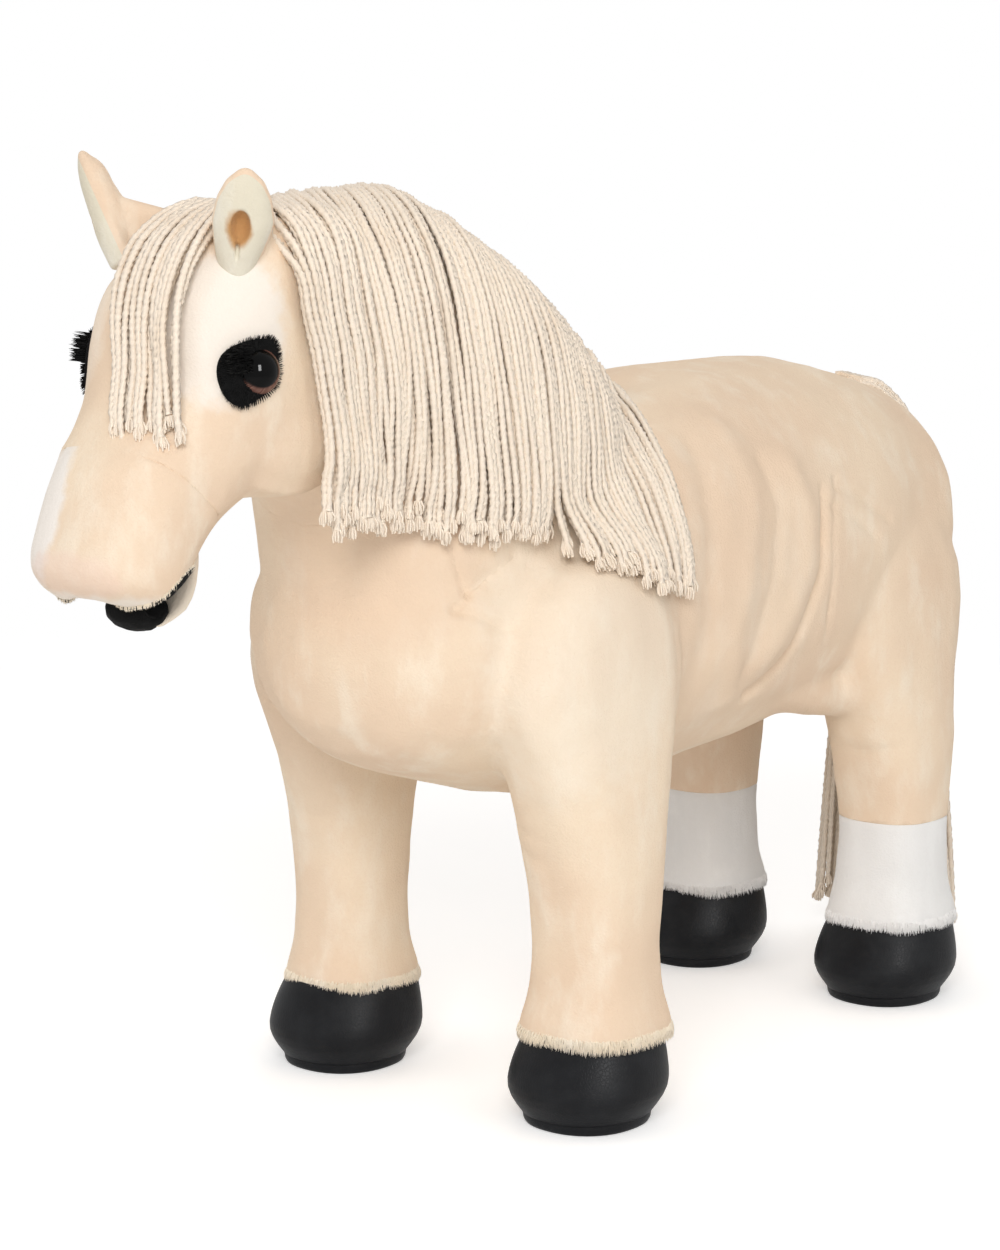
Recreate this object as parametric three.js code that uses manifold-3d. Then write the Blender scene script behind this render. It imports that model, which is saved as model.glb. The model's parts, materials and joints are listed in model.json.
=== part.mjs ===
// A standing plush horse with stuffed, jointed legs, a nodding head, an open mouth,
// bendable ears, and a mane, forelock and tail of cotton cords.
// Millimetres. Its nose points along -Y, its left side along +X, and Z is up.
// The origin is on the floor, under the middle of the whole toy.
import * as THREE from 'three';
import { mergeVertices } from 'three/addons/utils/BufferGeometryUtils.js';
import Module from 'manifold-3d';

const wasm = await Module();
wasm.setup();

// Driving sizes of the body
const back_height = 358;
const belly_height = 150;
const body_length = 473;
const body_width = 190;
const chest_y = -174.5;

// Driving sizes of the legs and hooves
const chest_overhang = 109;
const rump_overhang = 77;
const front_stance = 162;
const hind_stance = 130;
const hoof_width = 76;
const hoof_length = 79;
const hoof_height = 44;
const sole_thickness = 5;
const shoulder_height = 221;
const shoulder_radius = 62;
const shoulder_thickness = 63;
const hip_height = 222;
const hip_radius = 59;
const hip_thickness = 60;
const hip_setback = -5;
const sock_height = 58;
const shank_setback = 6;
const leg_swing = 12;
const far_leg_fullness = 0.92;

// Driving sizes of the neck and head
const poll_height = 448;
const poll_y = -223.5;
const neck_width = 100;
const nape_proud = 1;
const head_width = 98;
const head_length = 111;
const head_depth = 126;
const muzzle_width = 75;
const head_swing = 12;
const jaw_width = 42;
const jaw_length = 38;
const jaw_swing = 12;
const jaw_close = 6;
const mouth_width = 46;
const mouth_depth = 13;

// Driving sizes of the eyes and ears
const eye_diameter = 23;
const eye_dome = 9;
const eye_drop = 68;
const eye_setback = 34;
const eye_stem_radius = 3;
const eye_stem_length = 16;
const washer_radius = 8;
const washer_thickness = 2;
const patch_thickness = 1.4;
const ear_length = 53;
const ear_width = 28;
const ear_depth = 20;
const ear_spread = 66;
const ear_swing = 15;
const ear_lean = 19;
const ear_tip = 15;
const ear_facing = 44;
const ear_sink = 28;

// Driving sizes of the cords and their tapes
const cord_layer = 7;
const tape_width = 14;
const tape_thickness = 2.2;
const mane_parting = 4;
const forelock_width = 46;
const forelock_length = 96;
const tail_length = 341;
const tail_width = 108;
const tail_overhang = 78;
const tail_drop = 8;

// Driving sizes of the hidden leg joints
const rod_radius = 4;
const joint_disc_radius = 16;
const joint_disc_thickness = 3;

// Fits
const seam_gap = 0.4;
const running_gap = 0.6;
const overrun = 40;

// Faces round one section, and sections along one form
const section_faces = 20;
const limb_faces = 14;
const hoof_faces = 20;
const eye_faces = 20;
const disc_faces = 24;
const rod_faces = 16;

const horse = new THREE.Group();

// Turns a closed geometry into a solid
function solidOf(geometry) {
  const bare = geometry.clone();
  bare.deleteAttribute('normal');
  bare.deleteAttribute('uv');
  const merged = mergeVertices(bare);
  const mesh = new wasm.Mesh({
    numProp: 3,
    vertProperties: new Float32Array(merged.attributes.position.array),
    triVerts: new Uint32Array(merged.index.array),
  });
  return new wasm.Manifold(mesh);
}

// Adds a solid to the toy as one named piece
function addPiece(name, solid, { colour, roughness = 1, metalness = 0 }) {
  const mesh = solid.getMesh();
  const geometry = new THREE.BufferGeometry();
  geometry.setAttribute('position', new THREE.BufferAttribute(mesh.vertProperties, 3));
  geometry.setIndex(new THREE.BufferAttribute(mesh.triVerts, 1));
  geometry.computeVertexNormals();
  const material = new THREE.MeshStandardMaterial({ color: colour, roughness, metalness });
  const piece = new THREE.Mesh(geometry, material);
  piece.name = name;
  horse.add(piece);
}

// Rounds a share with a superellipse, so that sections and ends look stuffed
function squared(value, power) {
  return Math.sign(value) * Math.abs(value) ** (2 / power);
}

// Joins rings of points into one closed solid, with a point at each end
function skin(rings) {
  const faces = rings[0].length;
  const points = rings.flat();
  const centre = (ring) => ring
    .reduce((sum, point) => sum.add(point), new THREE.Vector3())
    .divideScalar(faces);
  points.push(centre(rings[0]), centre(rings.at(-1)));
  const first = points.length - 2;
  const last = points.length - 1;
  const index = [];
  for (let ring = 0; ring < rings.length - 1; ring++) {
    for (let side = 0; side < faces; side++) {
      const a = ring * faces + side;
      const b = ring * faces + (side + 1) % faces;
      index.push(a, b, b + faces, a, b + faces, a + faces);
    }
  }
  const top = (rings.length - 1) * faces;
  for (let side = 0; side < faces; side++) {
    const next = (side + 1) % faces;
    index.push(first, next, side);
    index.push(last, top + side, top + next);
  }
  let volume = 0;
  for (let i = 0; i < index.length; i += 3) {
    const [a, b, c] = [points[index[i]], points[index[i + 1]], points[index[i + 2]]];
    volume += a.dot(b.clone().cross(c));
  }
  if (volume < 0) {
    index.reverse();
  }
  const geometry = new THREE.BufferGeometry().setFromPoints(points);
  geometry.setIndex(index);
  return solidOf(geometry);
}

// Reads a smooth row between the rows of a table, at a share of its length
function rowAt(rows, share) {
  const place = share * (rows.length - 1);
  const start = Math.min(Math.floor(place), rows.length - 2);
  const t = place - start;
  const [p, a, b, q] = [start - 1, start, start + 1, start + 2]
    .map((i) => rows[THREE.MathUtils.clamp(i, 0, rows.length - 1)]);
  return a.map((value, i) => {
    const leave = (b[i] - p[i]) / 2;
    const reach = (q[i] - value) / 2;
    const rise = b[i] - value;
    return value + t * leave + t * t * (3 * rise - 2 * leave - reach)
      + t * t * t * (leave + reach - 2 * rise);
  });
}

// A stuffed form lying along the toy. Each row holds the section's upper point (y, z),
// its lower point (y, z) and its half width. The ends swell out to rounded caps.
function stuffedForm(rows, { steps, caps, power, grow = 0, middle = 0, faces = section_faces }) {
  const cap_steps = 4;
  const sections = [];
  for (let step = 0; step <= steps; step++) {
    const [upper_y, upper_z, lower_y, lower_z, half] = rowAt(rows, step / steps);
    const upper = new THREE.Vector2(upper_y, upper_z);
    const lower = new THREE.Vector2(lower_y, lower_z);
    const centre = upper.clone().add(lower).divideScalar(2);
    const up = upper.sub(lower).divideScalar(2);
    const reach = up.length();
    sections.push({ centre, up: up.divideScalar(reach), reach: reach + grow, half: half + grow });
  }
  const capped = (end, inner, length) => {
    const along = end.centre.clone().sub(inner.centre).normalize();
    return Array.from({ length: cap_steps }, (_, i) => {
      const angle = (i + 1) / (cap_steps + 0.35) * Math.PI / 2;
      const size = squared(Math.cos(angle), 2.4);
      const move = squared(Math.sin(angle), 2.4) * (length + grow);
      return {
        centre: end.centre.clone().addScaledVector(along, move),
        up: end.up,
        reach: end.reach * size,
        half: end.half * size,
      };
    });
  };
  const all = [
    ...capped(sections[0], sections[1], caps[0]).reverse(),
    ...sections,
    ...capped(sections.at(-1), sections.at(-2), caps[1]),
  ];
  return skin(all.map(({ centre, up, reach, half }) => Array.from({ length: faces }, (_, i) => {
    const turn = i / faces * 2 * Math.PI;
    const rise = squared(Math.sin(turn), power) * reach;
    return new THREE.Vector3(
      middle + squared(Math.cos(turn), power) * half,
      centre.x + up.x * rise,
      centre.y + up.y * rise,
    );
  })));
}

// A drum with its axis along X, whose rims are rounded over
function drum(y, z, radius, low_x, high_x, rounding = 0, faces = 28) {
  const outline = [new THREE.Vector2(0, low_x)];
  const corners = rounding > 0 ? 3 : 0;
  for (let i = 0; i <= corners; i++) {
    const turn = corners ? i / corners * Math.PI / 2 : 0;
    const inset = corners ? rounding * (1 - Math.sin(turn)) : 0;
    const lift = corners ? rounding * (1 - Math.cos(turn)) : 0;
    outline.push(new THREE.Vector2(radius - inset, low_x + lift));
  }
  for (let i = corners; i >= 0; i--) {
    const turn = corners ? i / corners * Math.PI / 2 : 0;
    const inset = corners ? rounding * (1 - Math.sin(turn)) : 0;
    const lift = corners ? rounding * (1 - Math.cos(turn)) : 0;
    outline.push(new THREE.Vector2(radius - inset, high_x - lift));
  }
  outline.push(new THREE.Vector2(0, high_x));
  const geometry = new THREE.LatheGeometry(outline, faces);
  geometry.rotateZ(-Math.PI / 2);
  geometry.translate(0, y, z);
  return solidOf(geometry);
}

// A prism of a side-view outline of (y, z) points, from one X to another
function sidePrism(points, low_x, high_x) {
  const shape = new THREE.Shape(points.map(([y, z]) => new THREE.Vector2(y, z)));
  const geometry = new THREE.ExtrudeGeometry(shape, { depth: high_x - low_x, bevelEnabled: false });
  geometry.applyMatrix4(new THREE.Matrix4().makeBasis(
    new THREE.Vector3(0, 1, 0),
    new THREE.Vector3(0, 0, 1),
    new THREE.Vector3(1, 0, 0),
  ));
  geometry.translate(low_x, 0, 0);
  return solidOf(geometry);
}

// A prism of a front-view outline of (x, z) points, from one Y to another
function frontPrism(points, low_y, high_y) {
  const shape = new THREE.Shape(points.map(([x, z]) => new THREE.Vector2(x, z)));
  const geometry = new THREE.ExtrudeGeometry(shape, { depth: high_y - low_y, bevelEnabled: false });
  geometry.applyMatrix4(new THREE.Matrix4().makeBasis(
    new THREE.Vector3(1, 0, 0),
    new THREE.Vector3(0, 0, 1),
    new THREE.Vector3(0, -1, 0),
  ));
  geometry.translate(0, high_y, 0);
  return solidOf(geometry);
}

// A block between two corners
function block(low, high) {
  const size = new THREE.Vector3().subVectors(high, low);
  const geometry = new THREE.BoxGeometry(size.x, size.y, size.z);
  geometry.translate(low.x + size.x / 2, low.y + size.y / 2, low.z + size.z / 2);
  return solidOf(geometry);
}

// An upright stack of rounded sections. Each row holds the height, the middle (x, y)
// and the half sizes (x, y). The last one is closed by a low crown.
function stack(rows, { power, crown, faces = limb_faces }) {
  const rings = rows.map(([height, x, y, half_x, half_y]) => (
    Array.from({ length: faces }, (_, i) => {
      const turn = i / faces * 2 * Math.PI;
      return new THREE.Vector3(
        x + squared(Math.cos(turn), power) * half_x,
        y + squared(Math.sin(turn), power) * half_y,
        height,
      );
    })
  ));
  if (crown > 0) {
    const [height, x, y, half_x, half_y] = rows.at(-1);
    rings.push(Array.from({ length: faces }, (_, i) => {
      const turn = i / faces * 2 * Math.PI;
      return new THREE.Vector3(
        x + squared(Math.cos(turn), power) * half_x / 2,
        y + squared(Math.sin(turn), power) * half_y / 2,
        height + crown,
      );
    }));
  }
  return skin(rings);
}

// Moves a solid by a matrix
function moved(solid, matrix) {
  const { vertProperties, triVerts } = solid.getMesh();
  const geometry = new THREE.BufferGeometry();
  geometry.setAttribute('position', new THREE.BufferAttribute(vertProperties, 3));
  geometry.applyMatrix4(matrix);
  return new wasm.Manifold(new wasm.Mesh({
    numProp: 3,
    vertProperties: new Float32Array(geometry.attributes.position.array),
    triVerts,
  }));
}

// Turns a solid about a line through a point
function turned(solid, point, axis, degrees) {
  const matrix = new THREE.Matrix4().makeTranslation(point)
    .multiply(new THREE.Matrix4().makeRotationAxis(axis, THREE.MathUtils.degToRad(degrees)))
    .multiply(new THREE.Matrix4().makeTranslation(point.clone().negate()));
  return moved(solid, matrix);
}

// Cuts a moving piece clear of a still one, through the piece's turn about its axis
function clearOf(piece, still, point, axis, angles) {
  return angles.reduce((rest, angle) => rest.subtract(turned(still, point, axis, -angle)), piece);
}

// Where the torso's sections stand, as shares: place along the body, then top and
// bottom between the belly and the back, then half the width
const torso_shares = [
  [0.137, 0.745, 0.12, 0.42],
  [0.230, 0.870, 0.02, 0.485],
  [0.366, 0.960, 0.00, 0.50],
  [0.514, 0.995, 0.01, 0.495],
  [0.662, 1.000, 0.04, 0.48],
  [0.778, 0.985, 0.09, 0.465],
  [0.869, 0.930, 0.14, 0.435],
];
const chest_cap_share = 0.137;
const rump_cap_share = 0.131;

function torsoForm(grow) {
  const girth = back_height - belly_height;
  const rows = torso_shares.map(([along, top, bottom, half]) => {
    const y = chest_y + along * body_length;
    return [y, belly_height + top * girth, y, belly_height + bottom * girth, half * body_width];
  });
  const caps = [chest_cap_share * body_length, rump_cap_share * body_length];
  return stuffedForm(rows, { steps: 11, caps, power: 2.25, grow });
}

// The head nods about a line along X. Round that line its back is a drum.
const head_radius = head_depth / 2 + nape_proud;
const nod_height = poll_height - head_radius;
const throat_height = nod_height - head_depth / 2 + nape_proud;
const withers_y = chest_y + 0.5 * body_length;

// The neck's sections, as shares: the crest between the withers and the poll, the throat
// between the chest and the poll, and the width between the body's and the neck's own
const neck_shares = [
  [0.133, -0.24, -0.47, 0.28, 0.56],
  [0.270, 0.18, -0.10, 0.55, 0.42],
  [0.396, 0.60, -0.04, 0.756, 0.49],
  [0.554, 0.93, 0.06, 0.89, 0.645],
  [0.733, 1.05, 0.35, 0.976, 0.82],
  [0.888, 1.02, 0.80, 1.00, 0.955],
  [1.000, 1.00, 1.10, 1.00, 1.00],
];

function neckForm(grow) {
  const rows = neck_shares.map(([crest_y, crest_z, throat_y, throat_z, narrowing]) => [
    THREE.MathUtils.lerp(withers_y, poll_y, crest_y),
    THREE.MathUtils.lerp(back_height, poll_height, crest_z),
    THREE.MathUtils.lerp(chest_y, poll_y, throat_y),
    THREE.MathUtils.lerp(belly_height, throat_height, throat_z),
    THREE.MathUtils.lerp(body_width, neck_width, narrowing) / 2,
  ]);
  return stuffedForm(rows, { steps: 9, caps: [seam_gap, seam_gap], power: 2.3, grow });
}

// The head's sections, as shares: how far forward and how high the brow and the jaw line
// lie from the nod axis, then half widths of the head and of the muzzle
const head_shares = [
  [-0.063, 0.500, -0.045, -0.484, 0.46, 0],
  [0.225, 0.430, 0.144, -0.508, 0.50, 0],
  [0.455, 0.230, 0.270, -0.556, 0.495, 0],
  [0.590, -0.032, 0.360, -0.603, 0.45, 0],
  [0.715, -0.254, 0.400, -0.650, 0, 0.525],
  [0.880, -0.444, 0.455, -0.715, 0, 0.505],
  [0.965, -0.630, 0.510, -0.810, 0, 0.49],
];
const nose_cap = 18;
const nape_cap = 6;

function headForm(grow) {
  const rows = head_shares.map(([brow_y, brow_z, jaw_y, jaw_z, head_half, muzzle_half]) => [
    poll_y - brow_y * head_length,
    nod_height + brow_z * head_depth,
    poll_y - jaw_y * head_length,
    nod_height + jaw_z * head_depth,
    head_half * head_width + muzzle_half * muzzle_width,
  ]);
  const form = stuffedForm(rows, { steps: 10, caps: [nape_cap, nose_cap], power: 2.4, grow });
  const half = head_width / 2 - nape_proud + grow;
  const nape = drum(poll_y, nod_height, head_radius + grow, -half, half, half / 2);
  return form.add(nape);
}

// A leg is a rounded disc at the joint that narrows to a round shank, set a little back
// over its hoof. Each row below the
// disc holds shares: height between the hoof and the joint, half size along the toy as a
// share of the disc's radius, then how far its inner and outer sides stand from the middle
const leg_shares = [
  [0.000, 0.555, 1.06, 1.06],
  [0.050, 0.545, 1.05, 1.05],
  [0.120, 0.485, 0.955, 0.955],
  [0.250, 0.465, 0.915, 0.915],
  [0.390, 0.495, 0.955, 0.955],
  [0.530, 0.560, 1.02, 0.98],
  [0.670, 0.660, 1.03, 0.96],
  [0.790, 0.790, 1.03, 0.93],
  [0.900, 0.930, 1.02, 0.90],
  [1.000, 0.990, 1.00, 0.88],
];
const disc_angles = [22, 42, 60, 74, 84];
const disc_thinning_share = 0.55;

function legForm({ x, shank_y, joint_y, joint_z, radius, thickness, fullness }, grow) {
  const low = hoof_height + seam_gap;
  const half = thickness / 2;
  const side = Math.sign(x);
  const section = (height, middle_y, inner, outer, along) => [
    height, x + side * (outer - inner) / 2, middle_y, (inner + outer) / 2 + grow, along + grow,
  ];
  const rows = leg_shares.map(([rise, along, inner, outer]) => {
    const lean = THREE.MathUtils.smoothstep(rise, 0.4, 1);
    const full = THREE.MathUtils.lerp(fullness, 1, lean);
    return section(
      THREE.MathUtils.lerp(low - grow, joint_z, rise),
      THREE.MathUtils.lerp(shank_y, joint_y, lean),
      inner * half * full,
      outer * half * fullness,
      along * radius * full,
    );
  });
  const [, , disc_inner, disc_outer] = leg_shares.at(-1);
  for (const angle of disc_angles) {
    const turn = THREE.MathUtils.degToRad(angle);
    const thinning = disc_thinning_share * (1 - Math.cos(turn));
    rows.push(section(
      joint_z + Math.sin(turn) * (radius + grow),
      joint_y,
      disc_inner * half,
      (disc_outer - thinning) * half * fullness,
      Math.cos(turn) * radius,
    ));
  }
  return stack(rows, { power: 2.6, crown: 0 });
}

const front_leg_y = chest_y + chest_overhang;
const hind_leg_y = chest_y + body_length - rump_overhang;
const hip_y = hind_leg_y + hip_setback;
const legs = [];
for (const side of [1, -1]) {
  const name = side > 0 ? 'left' : 'right';
  legs.push({
    name: `front_${name}`,
    side,
    x: side * front_stance / 2,
    y: front_leg_y,
    shank_y: front_leg_y + shank_setback,
    joint_y: front_leg_y,
    joint_z: shoulder_height,
    radius: shoulder_radius,
    thickness: shoulder_thickness,
    fullness: side > 0 ? 1 : far_leg_fullness,
    has_sock: false,
  });
  legs.push({
    name: `hind_${name}`,
    side,
    x: side * hind_stance / 2,
    y: hind_leg_y,
    shank_y: hind_leg_y + shank_setback,
    joint_y: hip_y,
    joint_z: hip_height,
    radius: hip_radius,
    thickness: hip_thickness,
    fullness: 1,
    has_sock: true,
  });
}

// The room that a leg turns in: its disc's pocket, and a wedge for the leg below it,
// which spreads this many degrees to either side of the joint's plumb line
const leg_spread = 54;
function legRoom({ side, x, joint_y, joint_z, radius, thickness }) {
  const inner = Math.abs(x) - thickness / 2 * 1.03 - running_gap;
  const outer = inner + thickness + overrun;
  const [low_x, high_x] = side > 0 ? [inner, outer] : [-outer, -inner];
  const pocket = drum(joint_y, joint_z, radius + running_gap, low_x, high_x);
  const wedge_angle = THREE.MathUtils.degToRad(leg_spread + leg_swing);
  const reach = radius + overrun;
  const wedge = sidePrism([
    [joint_y, joint_z],
    [joint_y - Math.sin(wedge_angle) * reach, joint_z - Math.cos(wedge_angle) * reach],
    [joint_y, joint_z - reach],
    [joint_y + Math.sin(wedge_angle) * reach, joint_z - Math.cos(wedge_angle) * reach],
  ], low_x, high_x);
  return pocket.add(wedge);
}

const plush = { colour: 0xecd6b8 };
const pale_plush = { colour: 0xf2ece2 };
const white_plush = { colour: 0xf1efec };
const black_felt = { colour: 0x141416 };
const cotton = { colour: 0xe8d8c2 };
const tape = { colour: 0xe3d2ba, roughness: 0.9 };
const faux_leather = { colour: 0x222427, roughness: 0.5 };
const steel = { colour: 0xb9bcc0, roughness: 0.35, metalness: 1 };
const plastic = { colour: 0xd9d9d6, roughness: 0.5 };
const glossy = { colour: 0x1b100b, roughness: 0.08 };

// Torso, with its leg pockets and the bores of the two joint rods
const torso_full = torsoForm(0);
let torso = torso_full;
for (const leg of legs) {
  torso = torso.subtract(legRoom(leg));
}
const rod_axes = [[front_leg_y, shoulder_height, front_stance, shoulder_thickness],
  [hip_y, hip_height, hind_stance, hip_thickness]];
for (const [y, z] of rod_axes) {
  torso = torso.subtract(drum(y, z, rod_radius + seam_gap, -body_width, body_width, 0, rod_faces));
}
addPiece('torso', torso, plush);

// Neck, cut to the torso and hollowed for the back of the head
const nape_room = drum(
  poll_y, nod_height, head_radius + running_gap, -neck_width, neck_width,
);
const tape_room = drum(
  poll_y, nod_height, head_radius + seam_gap + tape_thickness + running_gap,
  -forelock_width / 2, forelock_width / 2,
);
let neck = neckForm(0).subtract(torsoForm(seam_gap)).subtract(nape_room).subtract(tape_room);
for (const leg of legs.filter(({ has_sock }) => !has_sock)) {
  neck = neck.subtract(legRoom(leg));
}
addPiece('neck', neck, plush);

// Rods across the body, and the discs that hold the legs on them
for (const [name, [y, z, stance, thickness]] of [['shoulder', rod_axes[0]], ['hip', rod_axes[1]]]) {
  const half = stance / 2 - thickness / 4;
  addPiece(`${name}_rod`, drum(y, z, rod_radius, -half, half, 0, rod_faces), steel);
}

// Legs, socks, hooves and soles
const hoof_shares = [
  [0.00, 0.40, 0.40], [0.06, 0.445, 0.445], [0.14, 0.48, 0.48], [0.26, 0.50, 0.50],
  [0.45, 0.50, 0.495], [0.65, 0.48, 0.47], [0.85, 0.43, 0.42], [1.00, 0.39, 0.37],
];
for (const leg of legs) {
  const inner = leg.side * (Math.abs(leg.x) - leg.thickness / 2);
  const disc_x = inner + leg.side * leg.thickness * 0.14;
  const disc_far_x = disc_x + leg.side * joint_disc_thickness;
  const rod_end = leg.side * (Math.abs(leg.x) - leg.thickness / 4);
  const order = (a, b) => [Math.min(a, b), Math.max(a, b)];
  let form = legForm(leg, 0);
  form = form.subtract(drum(
    leg.joint_y, leg.joint_z, rod_radius + seam_gap,
    ...order(inner - leg.side * overrun, rod_end + leg.side * seam_gap), 0, rod_faces,
  ));
  form = form.subtract(drum(
    leg.joint_y, leg.joint_z, joint_disc_radius + seam_gap,
    ...order(disc_x - leg.side * seam_gap, disc_far_x + leg.side * seam_gap), 0, disc_faces,
  ));
  if (leg.has_sock) {
    const reach = new THREE.Vector3(overrun * 2, overrun * 2, sock_height);
    const low = new THREE.Vector3(leg.x, leg.y, hoof_height).sub(
      new THREE.Vector3(reach.x, reach.y, seam_gap + overrun),
    );
    const top = hoof_height + sock_height;
    const high = new THREE.Vector3(leg.x + reach.x, leg.y + reach.y, top);
    const below = block(low, high);
    const below_seam = block(low, high.clone().setZ(top - seam_gap));
    addPiece(`sock_${leg.name}`, form.intersect(below_seam), white_plush);
    form = form.subtract(below);
  }
  addPiece(`leg_${leg.name}`, form, plush);

  const disc = drum(
    leg.joint_y, leg.joint_z, joint_disc_radius, ...order(disc_x, disc_far_x), 0, disc_faces,
  ).subtract(drum(
    leg.joint_y, leg.joint_z, rod_radius + seam_gap,
    ...order(inner - leg.side * overrun, inner + leg.side * overrun), 0, rod_faces,
  ));
  addPiece(`joint_disc_${leg.name}`, disc, plastic);

  const hoof_low = sole_thickness + seam_gap;
  const hoof_rows = hoof_shares.map(([rise, across, along]) => [
    THREE.MathUtils.lerp(hoof_low, hoof_height, rise),
    leg.x,
    leg.y + rise ** 2 * shank_setback,
    across * hoof_width,
    along * hoof_length,
  ]);
  addPiece(`hoof_${leg.name}`, stack(hoof_rows, { power: 2.2, crown: 0, faces: hoof_faces }), faux_leather);

  const [, sole_across, sole_along] = hoof_shares[0];
  const sole_rows = [[0, 0.97], [sole_thickness / 2, 1], [sole_thickness, 0.99]].map(
    ([height, share]) => [
      height, leg.x, leg.y, share * sole_across * hoof_width, share * sole_along * hoof_length,
    ],
  );
  addPiece(`sole_${leg.name}`, stack(sole_rows, { power: 2.2, crown: 0, faces: hoof_faces }), faux_leather);
}

// The seam between the head and the muzzle runs down the face to the jaw
const seam_shares = { brow: [0.80, -0.27], jaw: [0.33, -0.62] };
const seamPoint = ([forward, up]) => new THREE.Vector2(
  poll_y - forward * head_length,
  nod_height + up * head_depth,
);
const seam_top = seamPoint(seam_shares.brow);
const seam_bottom = seamPoint(seam_shares.jaw);
const seam_along = seam_top.clone().sub(seam_bottom).normalize();
const seam_forward = new THREE.Vector2(-seam_along.y, seam_along.x);
function muzzleSide(inset) {
  const reach = head_length + overrun;
  const high = seam_top.clone().addScaledVector(seam_along, reach);
  const low = seam_bottom.clone().addScaledVector(seam_along, -reach);
  const corners = [high, low, low.clone(), high.clone()];
  corners[0].addScaledVector(seam_forward, inset);
  corners[1].addScaledVector(seam_forward, inset);
  corners[2].addScaledVector(seam_forward, reach);
  corners[3].addScaledVector(seam_forward, reach);
  return sidePrism(corners.map(({ x, y }) => [x, y]), -head_width, head_width);
}

// A ball stretched to three half sizes
function ball(x, y, z, half_x, half_y, half_z, faces = 12) {
  const geometry = new THREE.SphereGeometry(1, faces, faces / 2);
  geometry.scale(half_x, half_y, half_z);
  geometry.translate(x, y, z);
  return solidOf(geometry);
}

// The mouth is a pouch in the underside of the muzzle
const mouth_y = poll_y - 0.72 * head_length;
const mouth_z = nod_height - 0.83 * head_depth;
const mouth_half_length = 0.19 * head_length;
function mouthPouch(inset) {
  return ball(
    0, mouth_y, mouth_z,
    mouth_width / 2 - inset, mouth_half_length - inset, mouth_depth - inset,
  );
}

// The jaw hangs from a line along X at the back of the mouth
const jaw_y = mouth_y + mouth_half_length * 1.75;
const jaw_z = mouth_z + mouth_depth * 1.75;
const jaw_shares = [
  [0.24, -0.30, -0.14, -0.04, 0.90],
  [0.34, -0.52, -0.04, -0.44, 1.00],
  [0.48, -0.74, 0.13, -0.77, 0.96],
  [0.66, -0.88, 0.42, -0.95, 0.74],
];
function jawForm(grow) {
  const rows = jaw_shares.map(([inner_y, inner_z, outer_y, outer_z, half]) => [
    jaw_y - inner_y * jaw_length,
    jaw_z + inner_z * jaw_length,
    jaw_y - outer_y * jaw_length,
    jaw_z + outer_z * jaw_length,
    half * jaw_width / 2,
  ]);
  const caps = [0.12 * jaw_length, 0.08 * jaw_length];
  return stuffedForm(rows, { steps: 6, caps, power: 2.2, grow, faces: limb_faces });
}
function jawPad(grow) {
  return ball(
    0, jaw_y - 0.58 * jaw_length, jaw_z - 0.72 * jaw_length,
    jaw_width * 0.41 + grow, jaw_length * 0.28 + grow, jaw_length * 0.27 + grow,
  );
}

// Eyes sit on felt patches, with a stem through the head and a washer inside it
const eye_y = poll_y - eye_setback;
const eye_height = poll_height - eye_drop;
const eye_seat_share = 0.965;
const eye_x = head_width / 2 * eye_seat_share;
const stem_end_x = eye_x - eye_stem_length;
const washer_x = eye_x - 0.72 * eye_stem_length;
const patch_shares = [
  [-0.66, 0.06], [-0.64, 0.34], [-0.48, 0.50], [-0.22, 0.53], [0.02, 0.51], [0.20, 0.56],
  [0.32, 0.42], [0.36, 0.10], [0.30, -0.24], [0.06, -0.36], [-0.20, -0.42], [-0.48, -0.50],
  [-0.60, -0.26],
];
const patch_length = 30;
const patch_height = 31;

let head = headForm(0);
const muzzle_full = head.intersect(muzzleSide(seam_gap));
head = head.subtract(muzzleSide(0));
const muzzle = muzzle_full.subtract(mouthPouch(0));
const palate_thickness = 2;
const palate = muzzle_full
  .intersect(mouthPouch(seam_gap))
  .subtract(mouthPouch(seam_gap + palate_thickness));
addPiece('muzzle', muzzle, plush);
addPiece('palate', palate, black_felt);

const patch_skin = headForm(seam_gap + patch_thickness).subtract(headForm(seam_gap));
const eye_skin = headForm(2 * seam_gap + patch_thickness);
for (const side of [1, -1]) {
  const name = side > 0 ? 'left' : 'right';
  const across = (near, far) => (side > 0 ? [near, far] : [-far, -near]);
  const along = (radius, near, far) => (
    drum(eye_y, eye_height, radius, ...across(near, far), 0, disc_faces)
  );
  head = head
    .subtract(along(eye_stem_radius + seam_gap, stem_end_x - seam_gap, head_width))
    .subtract(along(
      washer_radius + seam_gap, washer_x - seam_gap, washer_x + washer_thickness + seam_gap,
    ));
  const outline = patch_shares.map(([back, up]) => (
    [eye_y + back * patch_length, eye_height + up * patch_height]
  ));
  const patch = patch_skin
    .intersect(sidePrism(outline, ...across(head_width / 4, head_width)))
    .subtract(along(eye_stem_radius + seam_gap, 0, head_width));
  addPiece(`eye_patch_${name}`, patch, black_felt);

  const dome = ball(
    side * eye_x, eye_y, eye_height, eye_dome, eye_diameter / 2, eye_diameter / 2, eye_faces,
  ).subtract(eye_skin);
  const stem = along(eye_stem_radius, stem_end_x, eye_x + eye_dome / 2);
  addPiece(`eye_${name}`, dome.add(stem), glossy);
  const washer = along(washer_radius, washer_x, washer_x + washer_thickness)
    .subtract(along(eye_stem_radius + seam_gap, 0, head_width));
  addPiece(`eye_washer_${name}`, washer, plastic);
}
addPiece('head', head, plush);

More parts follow.
